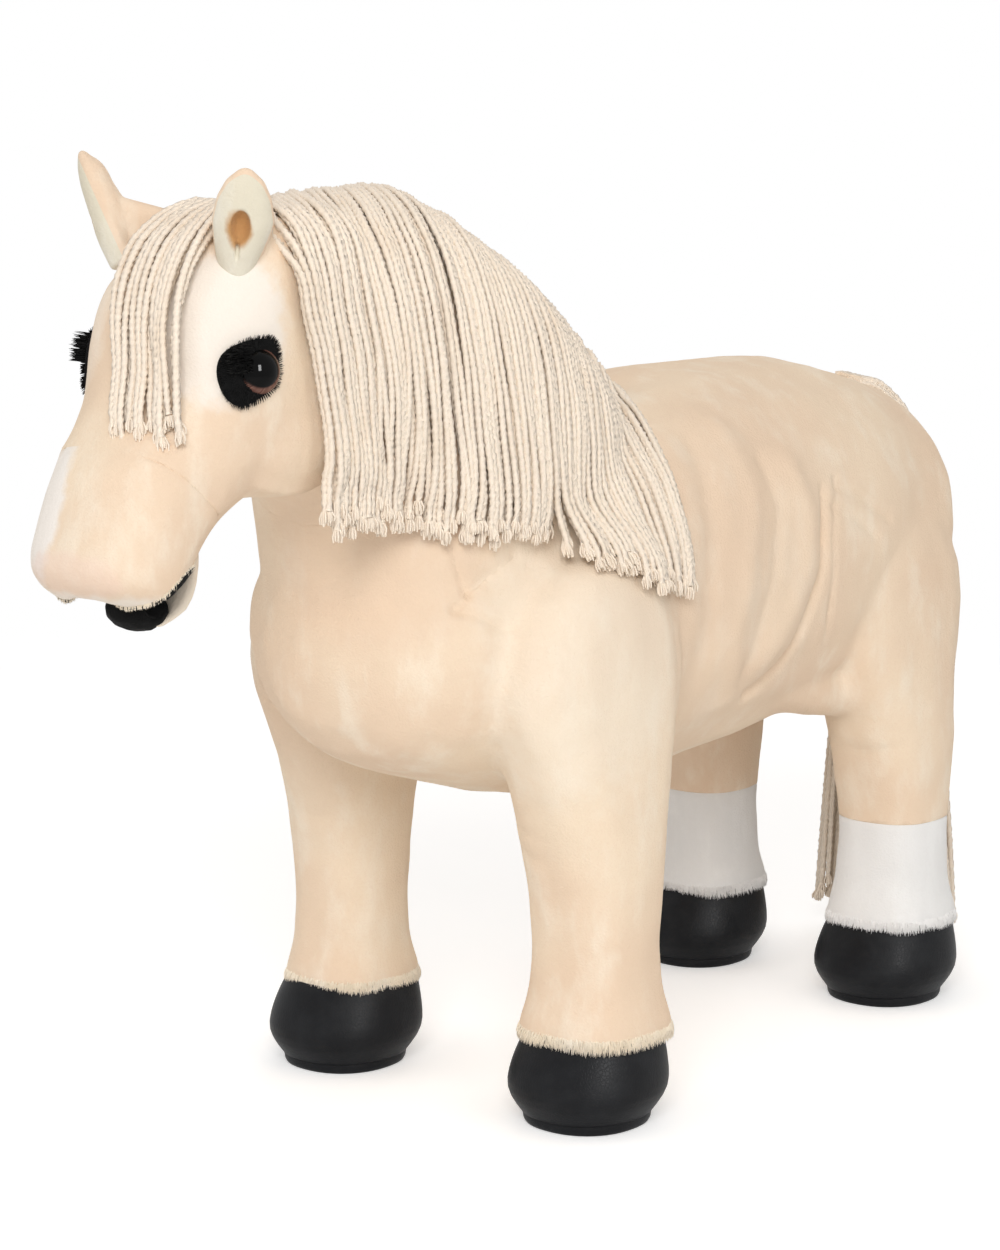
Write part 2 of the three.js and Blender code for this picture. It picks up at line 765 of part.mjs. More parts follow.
// Jaw and its felt lining, clear of the muzzle as they turn
const across_x = new THREE.Vector3(1, 0, 0);
const jaw_pivot = new THREE.Vector3(0, jaw_y, jaw_z);
const jaw_steps = 12;
const jaw_angles = Array.from({ length: jaw_steps + 1 }, (_, step) => (
  THREE.MathUtils.lerp(-jaw_close, jaw_swing, step / jaw_steps)
));
const jaw_room = headForm(running_gap);
const pad_room = jaw_room.subtract(mouthPouch(seam_gap + palate_thickness + running_gap));
const jaw_shell = jawForm(0).subtract(jawPad(seam_gap));
addPiece('jaw', clearOf(jaw_shell, jaw_room, jaw_pivot, across_x, jaw_angles), plush);
addPiece('jaw_lining', clearOf(jawPad(0), pad_room, jaw_pivot, across_x, jaw_angles), black_felt);

// Ears: a plush back and a pale lining round a hollow, in the ear's own frame, where X is
// its width, -Y the way it opens and Z its length
const ear_shares = [
  [0.00, 0.60, 0.80], [0.15, 0.80, 0.95], [0.35, 0.97, 1.00], [0.55, 1.00, 0.92],
  [0.75, 0.88, 0.72], [0.90, 0.62, 0.48], [1.00, 0.24, 0.20],
];
const lining_thickness = 1.6;
function earPieces() {
  const leaf = stack(ear_shares.map(([rise, across, along]) => (
    [rise * ear_length, 0, 0, across * ear_width / 2, along * ear_depth / 2]
  )), { power: 2, crown: ear_length * 0.02 });
  const hollow = (grow) => ball(
    0, -ear_depth * 0.42, ear_length * 0.6,
    ear_width * 0.19 + grow, ear_depth * 0.5 + grow, ear_length * 0.24 + grow,
  );
  const slit = ball(
    0, -ear_depth * 0.5, ear_length * 0.3, ear_width * 0.04, ear_depth * 0.34, ear_length * 0.3,
  );
  const front = (inset) => block(
    new THREE.Vector3(-ear_width, -ear_depth, -ear_length),
    new THREE.Vector3(ear_width, inset - ear_depth * 0.1, 2 * ear_length),
  );
  const inner = leaf.intersect(front(0).add(hollow(lining_thickness)));
  const back = leaf.subtract(front(seam_gap)).subtract(hollow(lining_thickness + seam_gap));
  return { back, lining: inner.subtract(hollow(0)).subtract(slit) };
}

const ear_y = poll_y - 0.27 * head_length;
const ear_root = 0.14 * ear_length;
const head_for_ears = headForm(seam_gap);
for (const [name, side] of [['left', 1], ['right', -1]]) {
  const up = new THREE.Vector3(
    side * Math.tan(THREE.MathUtils.degToRad(ear_lean)),
    -Math.tan(THREE.MathUtils.degToRad(ear_tip)),
    1,
  ).normalize();
  const face = THREE.MathUtils.degToRad(ear_facing);
  const opening = new THREE.Vector3(side * Math.sin(face), -Math.cos(face), 0);
  opening.addScaledVector(up, -opening.dot(up)).normalize();
  const width = new THREE.Vector3().crossVectors(opening.clone().negate(), up);
  const root = new THREE.Vector3(side * ear_spread / 2, ear_y, poll_height - ear_sink);
  const place = new THREE.Matrix4()
    .makeBasis(width, opening.clone().negate(), up)
    .setPosition(root);
  const pivot = root.clone().addScaledVector(up, ear_root);
  const { back, lining } = earPieces();
  const seats = [-ear_swing, 0, ear_swing];
  addPiece(`ear_${name}`, clearOf(moved(back, place), head_for_ears, pivot, width, seats), plush);
  addPiece(
    `ear_lining_${name}`,
    clearOf(moved(lining, place), head_for_ears, pivot, width, seats),
    pale_plush,
  );
}

// Mane, forelock and tail: cotton cords over a tape that is sewn to the plush.
// The cords lie on the body in one layer, cut to the outline that their ends draw.
const tape_out = seam_gap + tape_thickness;
const cord_in = tape_out + seam_gap;
const cord_out = cord_in + cord_layer;
const front_legs = legs.filter(({ has_sock }) => !has_sock);
const crestAt = (along, up) => [
  THREE.MathUtils.lerp(withers_y, poll_y, along),
  THREE.MathUtils.lerp(back_height, poll_height, up),
];
const bodyForm = (grow) => [neckForm(grow), torsoForm(grow)].reduce((sum, one) => sum.add(one));
const tape_shares = [
  [0.10, -0.6], [0.10, 0.4], [0.40, 1.1], [0.70, 1.3], [0.925, 1.3], [0.925, 0.8], [0.60, 0.5],
];
const tape_outline = tape_shares.map(([along, up]) => crestAt(along, up));
const mane_tape = bodyForm(tape_out).subtract(bodyForm(seam_gap))
  .intersect(sidePrism(tape_outline, -tape_width / 2, tape_width / 2));
addPiece('mane_tape', mane_tape, tape);

const mane_shares = [
  [0.925, 1.35], [0.965, 0.98], [0.995, 0.70], [1.005, 0.10], [1.01, -0.50], [0.80, -0.65],
  [0.62, -0.76], [0.48, -1.02], [0.23, -1.21], [0.265, -0.83], [0.268, -0.38], [0.25, -0.18],
  [0.19, -0.03], [0.11, 0.055], [0.05, 0.075], [0.05, 0.20], [0.16, 0.5], [0.40, 1.2],
  [0.70, 1.35],
];
const mane_outline = mane_shares.map(([along, up]) => crestAt(along, up));
// Seen from the front, the mane covers only the left side of the neck
const mane_front = [
  [mane_parting, poll_height + overrun], [mane_parting, poll_height - 0.12 * head_depth],
  [0.30 * neck_width, poll_height - 0.38 * head_depth],
  [0.42 * neck_width, throat_height + 0.15 * head_depth], [0.48 * neck_width, belly_height],
  [body_width, belly_height], [body_width, poll_height + overrun],
];
const nod_axis = new THREE.Vector3(0, poll_y, nod_height);
// Below the neck's widest line the cords hang plumb instead of following the throat
const plumbSlab = (grow) => block(
  new THREE.Vector3(0, poll_y - overrun, belly_height),
  new THREE.Vector3(neck_width / 2 + grow, chest_y + overrun * 2, nod_height),
);
const under_mane = bodyForm(cord_in);
let mane = bodyForm(cord_out).add(headForm(cord_out)).add(plumbSlab(cord_out));
let mane_floor = under_mane.add(plumbSlab(cord_in));
for (const leg of front_legs.filter(({ side }) => side > 0)) {
  mane = mane.add(legForm(leg, cord_out));
  mane_floor = mane_floor.add(legForm(leg, cord_in));
}
mane = mane
  .intersect(sidePrism(mane_outline, mane_parting, body_width))
  .intersect(frontPrism(mane_front, poll_y - overrun, withers_y + overrun))
  .subtract(mane_floor);
mane = clearOf(mane, headForm(cord_in), nod_axis, across_x, [-head_swing, 0, head_swing]);
addPiece('mane', mane, cotton);

// The forelock's outline as it is seen from the front, as shares of its width and length
const forelock_shares = [
  [-0.44, 0.30], [0.36, 0.30], [0.42, -0.10], [0.47, -0.25], [0.58, -0.50], [0.85, -1.00],
  [0.08, -1.00], [-0.22, -0.50], [-0.42, -0.10],
];
const forelock_outline = forelock_shares.map(([across, down]) => (
  [across * forelock_width, poll_height + down * forelock_length]
));
const forelock_y = poll_y - 0.07 * head_length;
const forelock = headForm(cord_out).subtract(headForm(cord_in))
  .intersect(frontPrism(forelock_outline, poll_y - 2 * head_length, forelock_y));
addPiece('forelock', forelock, cotton);
const forelock_tape = headForm(tape_out).subtract(headForm(seam_gap)).intersect(block(
  new THREE.Vector3(-forelock_width * 0.42, forelock_y - tape_width, poll_height - head_depth / 2),
  new THREE.Vector3(forelock_width * 0.36, forelock_y, poll_height + tape_out * 2),
));
addPiece('forelock_tape', forelock_tape, tape);

// The tail runs over the rump and hangs behind it. Shares: how far back from its root and
// how far down, for its outer and its inner side, then half its width
const tail_shares = [
  [0.00, 0.000, 0.00, 0.057, 0.16],
  [0.32, 0.032, 0.28, 0.096, 0.22],
  [0.64, 0.114, 0.52, 0.145, 0.29],
  [0.82, 0.195, 0.64, 0.209, 0.36],
  [0.90, 0.312, 0.71, 0.312, 0.44],
  [0.94, 0.509, 0.75, 0.509, 0.64],
  [0.98, 0.764, 0.79, 0.764, 0.84],
  [1.00, 1.000, 0.81, 1.000, 1.00],
];
const tail_root_y = chest_y + 0.906 * body_length;
const tail_root_z = back_height - tail_drop;
const tail_rows = tail_shares.map(([outer_back, outer_down, inner_back, inner_down, half]) => [
  tail_root_y + outer_back * tail_overhang,
  tail_root_z - outer_down * tail_length,
  tail_root_y + inner_back * tail_overhang,
  tail_root_z - inner_down * tail_length,
  half * tail_width / 2,
]);
const tail = stuffedForm(tail_rows, { steps: 12, caps: [seam_gap, seam_gap], power: 2.6, faces: limb_faces })
  .subtract(torsoForm(cord_in));
addPiece('tail', tail, cotton);
const tail_tape = torsoForm(tape_out).subtract(torsoForm(seam_gap)).intersect(block(
  new THREE.Vector3(-tape_width / 2, tail_root_y, hip_height),
  new THREE.Vector3(tape_width / 2, tail_root_y + tape_width * 2, back_height + overrun),
));
addPiece('tail_tape', tail_tape, tape);

export default horse;
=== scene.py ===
"""Looks of a standing plush horse: soft cream skin, leather hooves and cotton cords.

Metres. The nose points along -Y, the horse's left side along +X, and Z is up.
"""

import json
import math
import random
from functools import partialmethod

import bmesh
import bpy
from mathutils import Matrix, Vector, noise
from mathutils.bvhtree import BVHTree


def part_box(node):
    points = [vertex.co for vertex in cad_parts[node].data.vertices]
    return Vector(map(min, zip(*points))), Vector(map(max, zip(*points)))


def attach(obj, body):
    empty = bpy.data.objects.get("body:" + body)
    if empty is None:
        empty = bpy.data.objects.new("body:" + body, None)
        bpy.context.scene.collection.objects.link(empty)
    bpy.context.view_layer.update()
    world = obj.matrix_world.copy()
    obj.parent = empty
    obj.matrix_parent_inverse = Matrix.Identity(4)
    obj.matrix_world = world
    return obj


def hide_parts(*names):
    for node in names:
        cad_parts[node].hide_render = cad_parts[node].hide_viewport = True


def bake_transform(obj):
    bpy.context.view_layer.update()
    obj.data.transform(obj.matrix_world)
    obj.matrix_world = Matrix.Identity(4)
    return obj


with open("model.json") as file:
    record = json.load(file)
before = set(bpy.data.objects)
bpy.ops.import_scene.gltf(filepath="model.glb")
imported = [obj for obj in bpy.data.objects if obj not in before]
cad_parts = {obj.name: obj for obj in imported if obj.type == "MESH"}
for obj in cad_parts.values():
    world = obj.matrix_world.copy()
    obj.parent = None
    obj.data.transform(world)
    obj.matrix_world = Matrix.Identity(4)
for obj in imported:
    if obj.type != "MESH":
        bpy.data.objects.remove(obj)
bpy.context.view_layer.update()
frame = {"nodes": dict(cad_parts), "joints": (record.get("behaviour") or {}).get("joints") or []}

MM = 0.001
JOINTS = {joint["name"]: joint for joint in frame["joints"]}
NOD = Vector(JOINTS["head_nod"]["pos_m"])
SIDES = {"left": 1, "right": -1}
LEGS = ("front_left", "front_right", "hind_left", "hind_right")

# Sizes of the skin
SKIN_VOXEL = 2.3 * MM
SKIN_SWELL = 0.9 * MM
SOCK_SEAM_DEPTH = 0.7 * MM
MUZZLE_SEAM_DEPTH = 0.5 * MM
PLUSH_FILL = 0.8
TAPE_THICKNESS = 1.6 * MM
PATCH_THICKNESS = 1.3 * MM

# Sizes of the cords
CORD_RADIUS = 1.95 * MM
CORD_PITCH = 21 * MM
CORD_STEP = 3.2 * MM


def mm(*parts):
    """A point or a size in millimetres."""
    return Vector(parts) * MM


def clamped(value):
    """A number held between 0 and 1."""
    return max(0.0, min(1.0, value))


# Shader maths

class Value:
    """A number in a node tree, which Python's operators turn into Math nodes."""

    def __init__(self, tree, socket):
        self.tree = tree
        self.socket = socket

    def maths(self, operation, *others):
        return self.tree.add(
            "ShaderNodeMath", {"operation": operation}, dict(enumerate([self, *others]))
        )

    __add__ = __radd__ = partialmethod(maths, "ADD")
    __sub__ = partialmethod(maths, "SUBTRACT")
    __mul__ = partialmethod(maths, "MULTIPLY")
    __truediv__ = partialmethod(maths, "DIVIDE")
    __pow__ = partialmethod(maths, "POWER")

    def between(self, low, high):
        """0 at low and 1 at high, smooth in between. Low may be the larger one."""
        return self.tree.add(
            "ShaderNodeMapRange",
            {"interpolation_type": "SMOOTHSTEP"},
            {"Value": self, "From Min": low, "From Max": high},
        )


class Tree:
    """The nodes of a material or of the world, round its one shader."""

    def __init__(self, owner, kind):
        owner.use_nodes = True
        self.nodes, self.links = owner.node_tree.nodes, owner.node_tree.links
        self.shader = next(node for node in self.nodes if node.type == kind)

    def feed(self, sockets, node=None):
        node = node or self.shader
        for key, value in sockets.items():
            if isinstance(value, Value):
                self.links.new(value.socket, node.inputs[key])
            else:
                node.inputs[key].default_value = value

    def add(self, kind, settings=None, sockets=None, output=0):
        """Adds a node with its settings, then its sockets, and gives one output."""
        node = self.nodes.new(kind)
        for key, value in (settings or {}).items():
            setattr(node, key, value)
        self.feed(sockets or {}, node)
        return Value(self, node.outputs[output])

    def mix(self, share, first, second):
        """A colour between two, by a share from 0 to 1."""
        sockets = {0: share, 6: first, 7: second}
        return self.add("ShaderNodeMix", {"data_type": "RGBA"}, sockets, output=2)

    def seen_directly(self):
        """1 where a camera, glossy or transmission ray meets the surface."""
        total = self.add("ShaderNodeLightPath", output="Is Camera Ray")
        for ray in ("Is Glossy Ray", "Is Transmission Ray"):
            total = total + self.add("ShaderNodeLightPath", output=ray)
        return total.maths("MINIMUM", 1)


class Finish(Tree):
    """A procedural material on one Principled shader."""

    def __init__(self, name, **plain):
        self.material = bpy.data.materials.new(name)
        super().__init__(self.material, "BSDF_PRINCIPLED")
        self.feed({key.replace("_", " ").title(): value for key, value in plain.items()})

    def place(self):
        """The object's own coordinates, and their three numbers."""
        place = self.add("ShaderNodeTexCoord", output="Object")
        parts = [
            self.add("ShaderNodeSeparateXYZ", sockets={0: place}, output=axis)
            for axis in range(3)
        ]
        return place, *parts

    def noise(self, place, scale, detail=3, roughness=0.55, stretch=None):
        if stretch:
            place = self.add(
                "ShaderNodeVectorMath", {"operation": "MULTIPLY"}, {0: place, 1: stretch}
            )
        return self.add("ShaderNodeTexNoise", sockets={
            "Vector": place, "Scale": scale, "Detail": detail, "Roughness": roughness,
        })

    def bump(self, height, strength, distance):
        return self.add("ShaderNodeBump", sockets={
            "Strength": strength, "Distance": distance, "Height": height,
        })


def rgb(red, green, blue):
    return (red, green, blue, 1)


CREAM = rgb(0.865, 0.715, 0.545)
CREAM_SHADE = rgb(0.775, 0.580, 0.425)
CREAM_LIGHT = rgb(0.905, 0.805, 0.665)
WHITE_FUR = rgb(0.89, 0.865, 0.84)
PINK_FUR = rgb(0.86, 0.64, 0.54)


def ellipse_mask(parts, centre, reach, wobble):
    """1 inside an ellipsoid and 0 outside it, with a furry edge."""
    squares = [((part - c) / r) ** 2 for part, c, r in zip(parts, centre, reach)]
    distance = (squares[0] + squares[1] + squares[2]) ** 0.5 + wobble
    return distance.between(1.18, 0.78)


def plush(name, base=CREAM, shade=CREAM_SHADE, light=CREAM_LIGHT, markings_and_painted_shading=()):
    """Short pile: brushed mottling, a soft sheen and a fine nap."""
    finish = Finish(name, roughness=0.92, sheen_weight=0.2, sheen_roughness=0.45)
    place, *parts = finish.place()
    broad = finish.noise(place, 9, 2)
    brushed = finish.noise(place, 46, 4, 0.6, (1, 1, 0.45))
    nap = finish.noise(place, 900, 2, 0.6)
    colour = finish.mix(broad.between(0.34, 0.66) * 0.7, base, shade)
    colour = finish.mix(brushed.between(0.46, 0.72) * 0.6, colour, light)
    colour = finish.mix(nap.between(0.60, 0.25) * 0.22, colour, shade)
    edge = (finish.noise(place, 130, 3) - 0.5) * 0.5
    # Patches over the mottling: markings of the fur on the head and muzzle, and painted light and
    # shade on the body and in the ears' hollows
    for centre, reach, tint, strength in markings_and_painted_shading:
        mask = ellipse_mask(parts, centre, reach, edge) * strength
        colour = finish.mix(mask, colour, tint)
    finish.feed({
        "Base Color": colour,
        "Sheen Tint": light,
        "Specular IOR Level": 0.08,
        "Normal": finish.bump(nap * 0.7 + brushed * 1.6, 0.55, 0.9 * MM),
    })
    return finish.material


def black_felt():
    finish = Finish("black_felt", roughness=0.9, sheen_weight=0.03, sheen_roughness=0.4)
    place, *_ = finish.place()
    nap = finish.noise(place, 1400, 2)
    colour = finish.mix(nap, rgb(0.002, 0.002, 0.002), rgb(0.010, 0.010, 0.010))
    finish.feed({
        "Base Color": colour, "Specular IOR Level": 0.1, "Normal": finish.bump(nap, 0.7, 0.6 * MM),
    })
    return finish.material


def hoof_leather():
    """Satin imitation leather with a fine pebble and slightly polished high spots."""
    finish = Finish("hoof_leather")
    place, *_ = finish.place()
    pebble = finish.add(
        "ShaderNodeTexVoronoi", {"feature": "DISTANCE_TO_EDGE"}, {"Vector": place, "Scale": 620}
    )
    scuffs = finish.noise(place, 60, 4)
    creases = finish.noise(place, 180, 3)
    colour = finish.mix(
        scuffs.between(0.35, 0.75), rgb(0.011, 0.0115, 0.013), rgb(0.017, 0.018, 0.020)
    )
    height = pebble.between(0, 0.12) * 0.5 + creases * 0.6
    finish.feed({
        "Base Color": colour,
        "Roughness": 0.36 + scuffs * 0.18,
        "Specular IOR Level": 0.09,
        "Normal": finish.bump(height, 0.35, 0.35 * MM),
    })
    return finish.material


def cotton(name, tint, shade):
    """Twisted natural cotton, darker in fine random flecks and in long streaks up and down it."""
    finish = Finish(name, roughness=0.88, sheen_weight=0.18, sheen_roughness=0.5)
    place, *_ = finish.place()
    fibre = finish.noise(place, 1600, 3, 0.65)
    lengthwise = finish.noise(place, 70, 3, 0.5, (1, 1, 0.3))
    colour = finish.mix(fibre.between(0.62, 0.30) * 0.5, tint, shade)
    colour = finish.mix(lengthwise.between(0.48, 0.75) * 0.5, colour, shade)
    finish.feed({
        "Base Color": colour,
        "Specular IOR Level": 0.2,
        "Normal": finish.bump(fibre, 0.5, 0.25 * MM),
    })
    return finish.material


def eye_gloss(side, centre):
    """A glossy eye: a black pupil turned a little forward, and a brown iris round it."""
    finish = Finish(f"eye_gloss_{side}", roughness=0.04)
    _, _, y, z = finish.place()
    ahead, up = y - (centre.y - 3.4 * MM), z - (centre.z + 2.0 * MM)
    radius = (ahead * ahead + up * up) ** 0.5
    turn = ahead.maths("ARCTAN2", up)
    rays = finish.add("ShaderNodeTexNoise", {"noise_dimensions": "1D"}, {
        "W": turn, "Scale": 14, "Detail": 2,
    })
    iris = finish.mix(rays.between(0.3, 0.7), rgb(0.10, 0.042, 0.034), rgb(0.24, 0.125, 0.095))
    colour = finish.mix(radius.between(8.0 * MM, 9.4 * MM), rgb(0.002, 0.002, 0.002), iris)
    colour = finish.mix(radius.between(12.4 * MM, 13.6 * MM), colour, rgb(0.02, 0.012, 0.01))
    finish.feed({"Base Color": colour, "Specular IOR Level": 0.09})
    return finish.material


def hard_part(name, colour, roughness, metallic=0.0):
    """Moulded plastic or drawn steel, with faint marks from its making."""
    finish = Finish(name, metallic=metallic)
    place, *_ = finish.place()
    marks = finish.noise(place, 300, 3, 0.6, (0.15, 1, 1))
    finish.feed({
        "Base Color": finish.mix(marks * 0.3, colour, rgb(*(0.7 * c for c in colour[:3]))),
        "Roughness": marks * 0.15 + roughness,
        "Normal": finish.bump(marks, 0.2, 0.1 * MM),
    })
    return finish.material


# Making meshes

def in_scene(name, data):
    """A new object in the scene."""
    made = bpy.data.objects.new(name, data)
    bpy.context.scene.collection.objects.link(made)
    return made


def new_object(name, shape, smooth=True):
    """Turns a bmesh into an object in the scene, and frees it."""
    mesh = bpy.data.meshes.new(name)
    shape.to_mesh(mesh)
    shape.free()
    if smooth:
        mesh.shade_smooth()
    return in_scene(name, mesh)


def mesh_of(made):
    """The mesh that an object's modifiers or its curve give."""
    graph = bpy.context.evaluated_depsgraph_get()
    return bpy.data.meshes.new_from_object(made.evaluated_get(graph))


def with_modifiers(made):
    """Replaces an object's mesh by the one that its modifiers give."""
    mesh = mesh_of(made)
    made.modifiers.clear()
    made.data = mesh
    return made


def discard(*objects):
    for each in objects:
        bpy.data.objects.remove(each)


def shape_of(made):
    """A bmesh of an object's mesh."""
    shape = bmesh.new()
    shape.from_mesh(made.data)
    return shape


def taken(made):
    """A bmesh of an object's mesh, in place of the object."""
    shape = shape_of(made)
    discard(made)
    return shape


def solid_copy(node):
    """A CAD node's solid as a bmesh, its loose triangles joined."""
    shape = shape_of(frame["nodes"][node])
    bmesh.ops.remove_doubles(shape, verts=shape.verts, dist=1e-6)
    return shape


def hull_copy(*nodes):
    """The hull of CAD nodes, which closes the pockets and bores cut into them."""
    shape = bmesh.new()
    for node in nodes:
        shape.from_mesh(frame["nodes"][node].data)
    hull = bmesh.ops.convex_hull(shape, input=shape.verts)
    loose = [v for v in hull["geom_interior"] if isinstance(v, bmesh.types.BMVert)]
    bmesh.ops.delete(shape, geom=loose, context="VERTS")
    bmesh.ops.delete(shape, geom=[f for f in hull["geom_unused"] if f.is_valid], context="VERTS")
    keep = {face for face in hull["geom"] if isinstance(face, bmesh.types.BMFace)}
    bmesh.ops.delete(shape, geom=[f for f in shape.faces if f not in keep], context="FACES_ONLY")
    bmesh.ops.remove_doubles(shape, verts=shape.verts, dist=1e-6)
    bmesh.ops.recalc_face_normals(shape, faces=shape.faces)
    return shape


def swell(shape, amount):
    """Moves a bmesh's skin outwards, so that pieces with a fit between them join."""
    shape.normal_update()
    for vert in shape.verts:
        vert.co += vert.normal * amount


def gathered(shapes):
    """Puts several bmeshes into one."""
    whole = bmesh.new()
    for shape in shapes:
        mesh = bpy.data.meshes.new("part")
        shape.to_mesh(mesh)
        shape.free()
        whole.from_mesh(mesh)
        bpy.data.meshes.remove(mesh)
    return whole


def drum(centre, radius, half):
    """A cylinder along X."""
    shape = bmesh.new()
    bmesh.ops.create_cone(
        shape, cap_ends=True, segments=64, radius1=radius, radius2=radius, depth=2 * half,
        matrix=Matrix.Translation((0, centre.y, centre.z)) @ Matrix.Rotation(math.pi / 2, 4, "Y"),
    )
    return shape


def side_prism(outline, low_x, high_x):
    """A solid with an outline of (y, z) points as seen from the side."""
    shape = bmesh.new()
    verts = [shape.verts.new((low_x, y, z)) for y, z in outline]
    face = shape.faces.new(verts)
    out = bmesh.ops.extrude_face_region(shape, geom=[face])
    moved = [v for v in out["geom"] if isinstance(v, bmesh.types.BMVert)]
    bmesh.ops.translate(shape, verts=moved, vec=(high_x - low_x, 0, 0))
    bmesh.ops.recalc_face_normals(shape, faces=shape.faces)
    return shape


def block(low, high):
    """A box between two corners."""
    low, high = Vector(low), Vector(high)
    shape = bmesh.new()
    bmesh.ops.create_cube(
        shape, size=1,
        matrix=Matrix.Translation((low + high) / 2) @ Matrix.Diagonal((*(high - low), 1)),
    )
    return shape


def ball(centre, reach, rings=24):
    """An ellipsoid."""
    shape = bmesh.new()
    bmesh.ops.create_uvsphere(
        shape, u_segments=2 * rings, v_segments=rings, radius=1,
        matrix=Matrix.Translation(centre) @ Matrix.Diagonal((*reach, 1)),
    )
    return shape


def remeshed(name, shape, voxel, rounds):
    """One even skin over everything in a bmesh, smoothed like stuffed cloth."""
    made = new_object(name, shape)
    remesh = made.modifiers.new("skin", "REMESH")
    remesh.mode = "VOXEL"
    remesh.voxel_size = voxel
    made.modifiers.new("soft", "SMOOTH").iterations = rounds
    return with_modifiers(made)


def cut(made, shape, operation):
    """Cuts an object with a bmesh, or keeps only what lies inside it."""
    tool = new_object("cutter", shape, smooth=False)
    boolean = made.modifiers.new("cut", "BOOLEAN")
    boolean.operation = operation
    boolean.solver = "MANIFOLD"
    boolean.object = tool
    with_modifiers(made)
    discard(tool)


def part_of(source, name, *steps):
    """A copy of an object, cut by (operation, bmesh) steps."""
    piece = in_scene(name, source.data.copy())
    for operation, shape in steps:
        cut(piece, shape, operation)
    return piece


def tidy_shading(piece, degrees=50):
    piece.data.shade_smooth()
    piece.data.set_sharp_from_angle(angle=math.radians(degrees))


def finished(piece, body, finish, slot, *nodes, fill=None):
    """Gives a piece one of FINISHES and the body it rides on, and hides the given nodes."""
    piece.data.materials.clear()
    piece.data.materials.append(FINISHES[finish])
    if nodes:
        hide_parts(*nodes)
    if body:
        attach(piece, body)


def sewn(piece, body, finish, slot, node, fill=PLUSH_FILL):
    """Finishes a stuffed piece, with its cut edges sharp."""
    tidy_shading(piece)
    finished(piece, body, finish, slot, node, fill=fill)


def skin_layer(name, whole, thickness, *rooms):
    """A layer on the skin, as far as all the rooms reach."""
    outer = shape_of(whole)
    swell(outer, thickness)
    layer = new_object(name, outer)
    for room in rooms:
        cut(layer, room, "INTERSECT")
    cut(layer, shape_of(whole), "DIFFERENCE")
    tidy_shading(layer)
    return layer


def tree_of(made):
    graph = bpy.context.evaluated_depsgraph_get()
    return BVHTree.FromObject(made, graph)


def nearest_on(points, spot):
    """The distance from a spot to a line of points."""
    best = 1.0
    for first, second in zip(points, points[1:]):
        line = second - first
        share = clamped((spot - first).dot(line) / line.length_squared)
        best = min(best, (first + line * share - spot).length)
    return best


def press_folds(shape, folds):
    """Presses folds into a bmesh. Each has its points, its width and its depth."""
    for points, width, depth in folds:
        line = [mm(*point) for point in points]
        reach = 2.4 * width * MM
        low = Vector(map(min, *line)) - Vector((reach,) * 3)
        high = Vector(map(max, *line)) + Vector((reach,) * 3)
        for vert in shape.verts:
            x, y, z = vert.co
            if low.x < x < high.x and low.y < y < high.y and low.z < z < high.z:
                distance = nearest_on(line, vert.co)
                if distance < reach:
                    share = math.exp(-((distance / (width * MM)) ** 2))
                    vert.co -= vert.normal * depth * MM * share
        shape.normal_update()


# Cords and fur

# Each fur's length, its lean away from the skin, a hair's radius and the seed of its sway
FURS = {
    "cuff": (6.2 * MM, 0.3, 0.24 * MM, 7),
    "lip": (2.0 * MM, 0.3, 0.18 * MM, 52),
    "eye": (2.9 * MM, 0.45, 0.2 * MM, 62),
    "lash": (8.5 * MM, 0.5, 0.26 * MM, 63),
}
FRAY_FIBRES = 16
FRAY_RADIUS = 0.55 * MM


def lobed_profile():
    """The section of a cord twisted from three strands."""
    curve = bpy.data.curves.new("cord_section", "CURVE")
    spline = curve.splines.new("POLY")
    spline.points.add(5)
    spline.use_cyclic_u = True
    for index, point in enumerate(spline.points):
        turn = index / 6 * math.tau
        reach = CORD_RADIUS * (0.84 if index % 2 else 1.0)
        point.co = (math.cos(turn) * reach, math.sin(turn) * reach, 0, 1)
    return in_scene("cord_section", curve)


def reading(table, share):
    """Reads a table of even steps at a share of its length."""
    place = clamped(share) * (len(table) - 1)
    start = min(int(place), len(table) - 2)
    return table[start] + (table[start + 1] - table[start]) * (place - start)


def smoothed(values, rounds=3):
    for _ in range(rounds):
        ahead, behind = [*values[1:], values[-1]], [values[0], *values[:-1]]
        values = [(a + 2 * b + c) / 4 for a, b, c in zip(ahead, values, behind)]
    return values


def evenly(points, step):
    """The same line with points a step apart."""
    out = [points[0]]
    left = step
    for first, second in zip(points, points[1:]):
        length = (second - first).length
        while left <= length:
            out.append(first.lerp(second, left / length))
            left += step
        left -= length
    return out


def strands_mesh(name, strands, section=None, depth=0.0):
    """A mesh of strands. Each is a list of (point, radius, tilt)."""
    curve = bpy.data.curves.new(name, "CURVE")
    curve.dimensions = "3D"
    curve.use_fill_caps = True
    if section:
        curve.bevel_mode = "OBJECT"
        curve.bevel_object = section
    else:
        curve.bevel_depth = depth
        curve.bevel_resolution = 0
    for strand in strands:
        spline = curve.splines.new("POLY")
        spline.points.add(len(strand) - 1)
        for point, (place, radius, tilt) in zip(spline.points, strand):
            point.co = (*place, 1)
            point.radius = radius
            point.tilt = tilt
    holder = in_scene(name, curve)
    mesh = mesh_of(holder)
    discard(holder)
    shape = bmesh.new()
    shape.from_mesh(mesh)
    bpy.data.meshes.remove(mesh)
    return shape


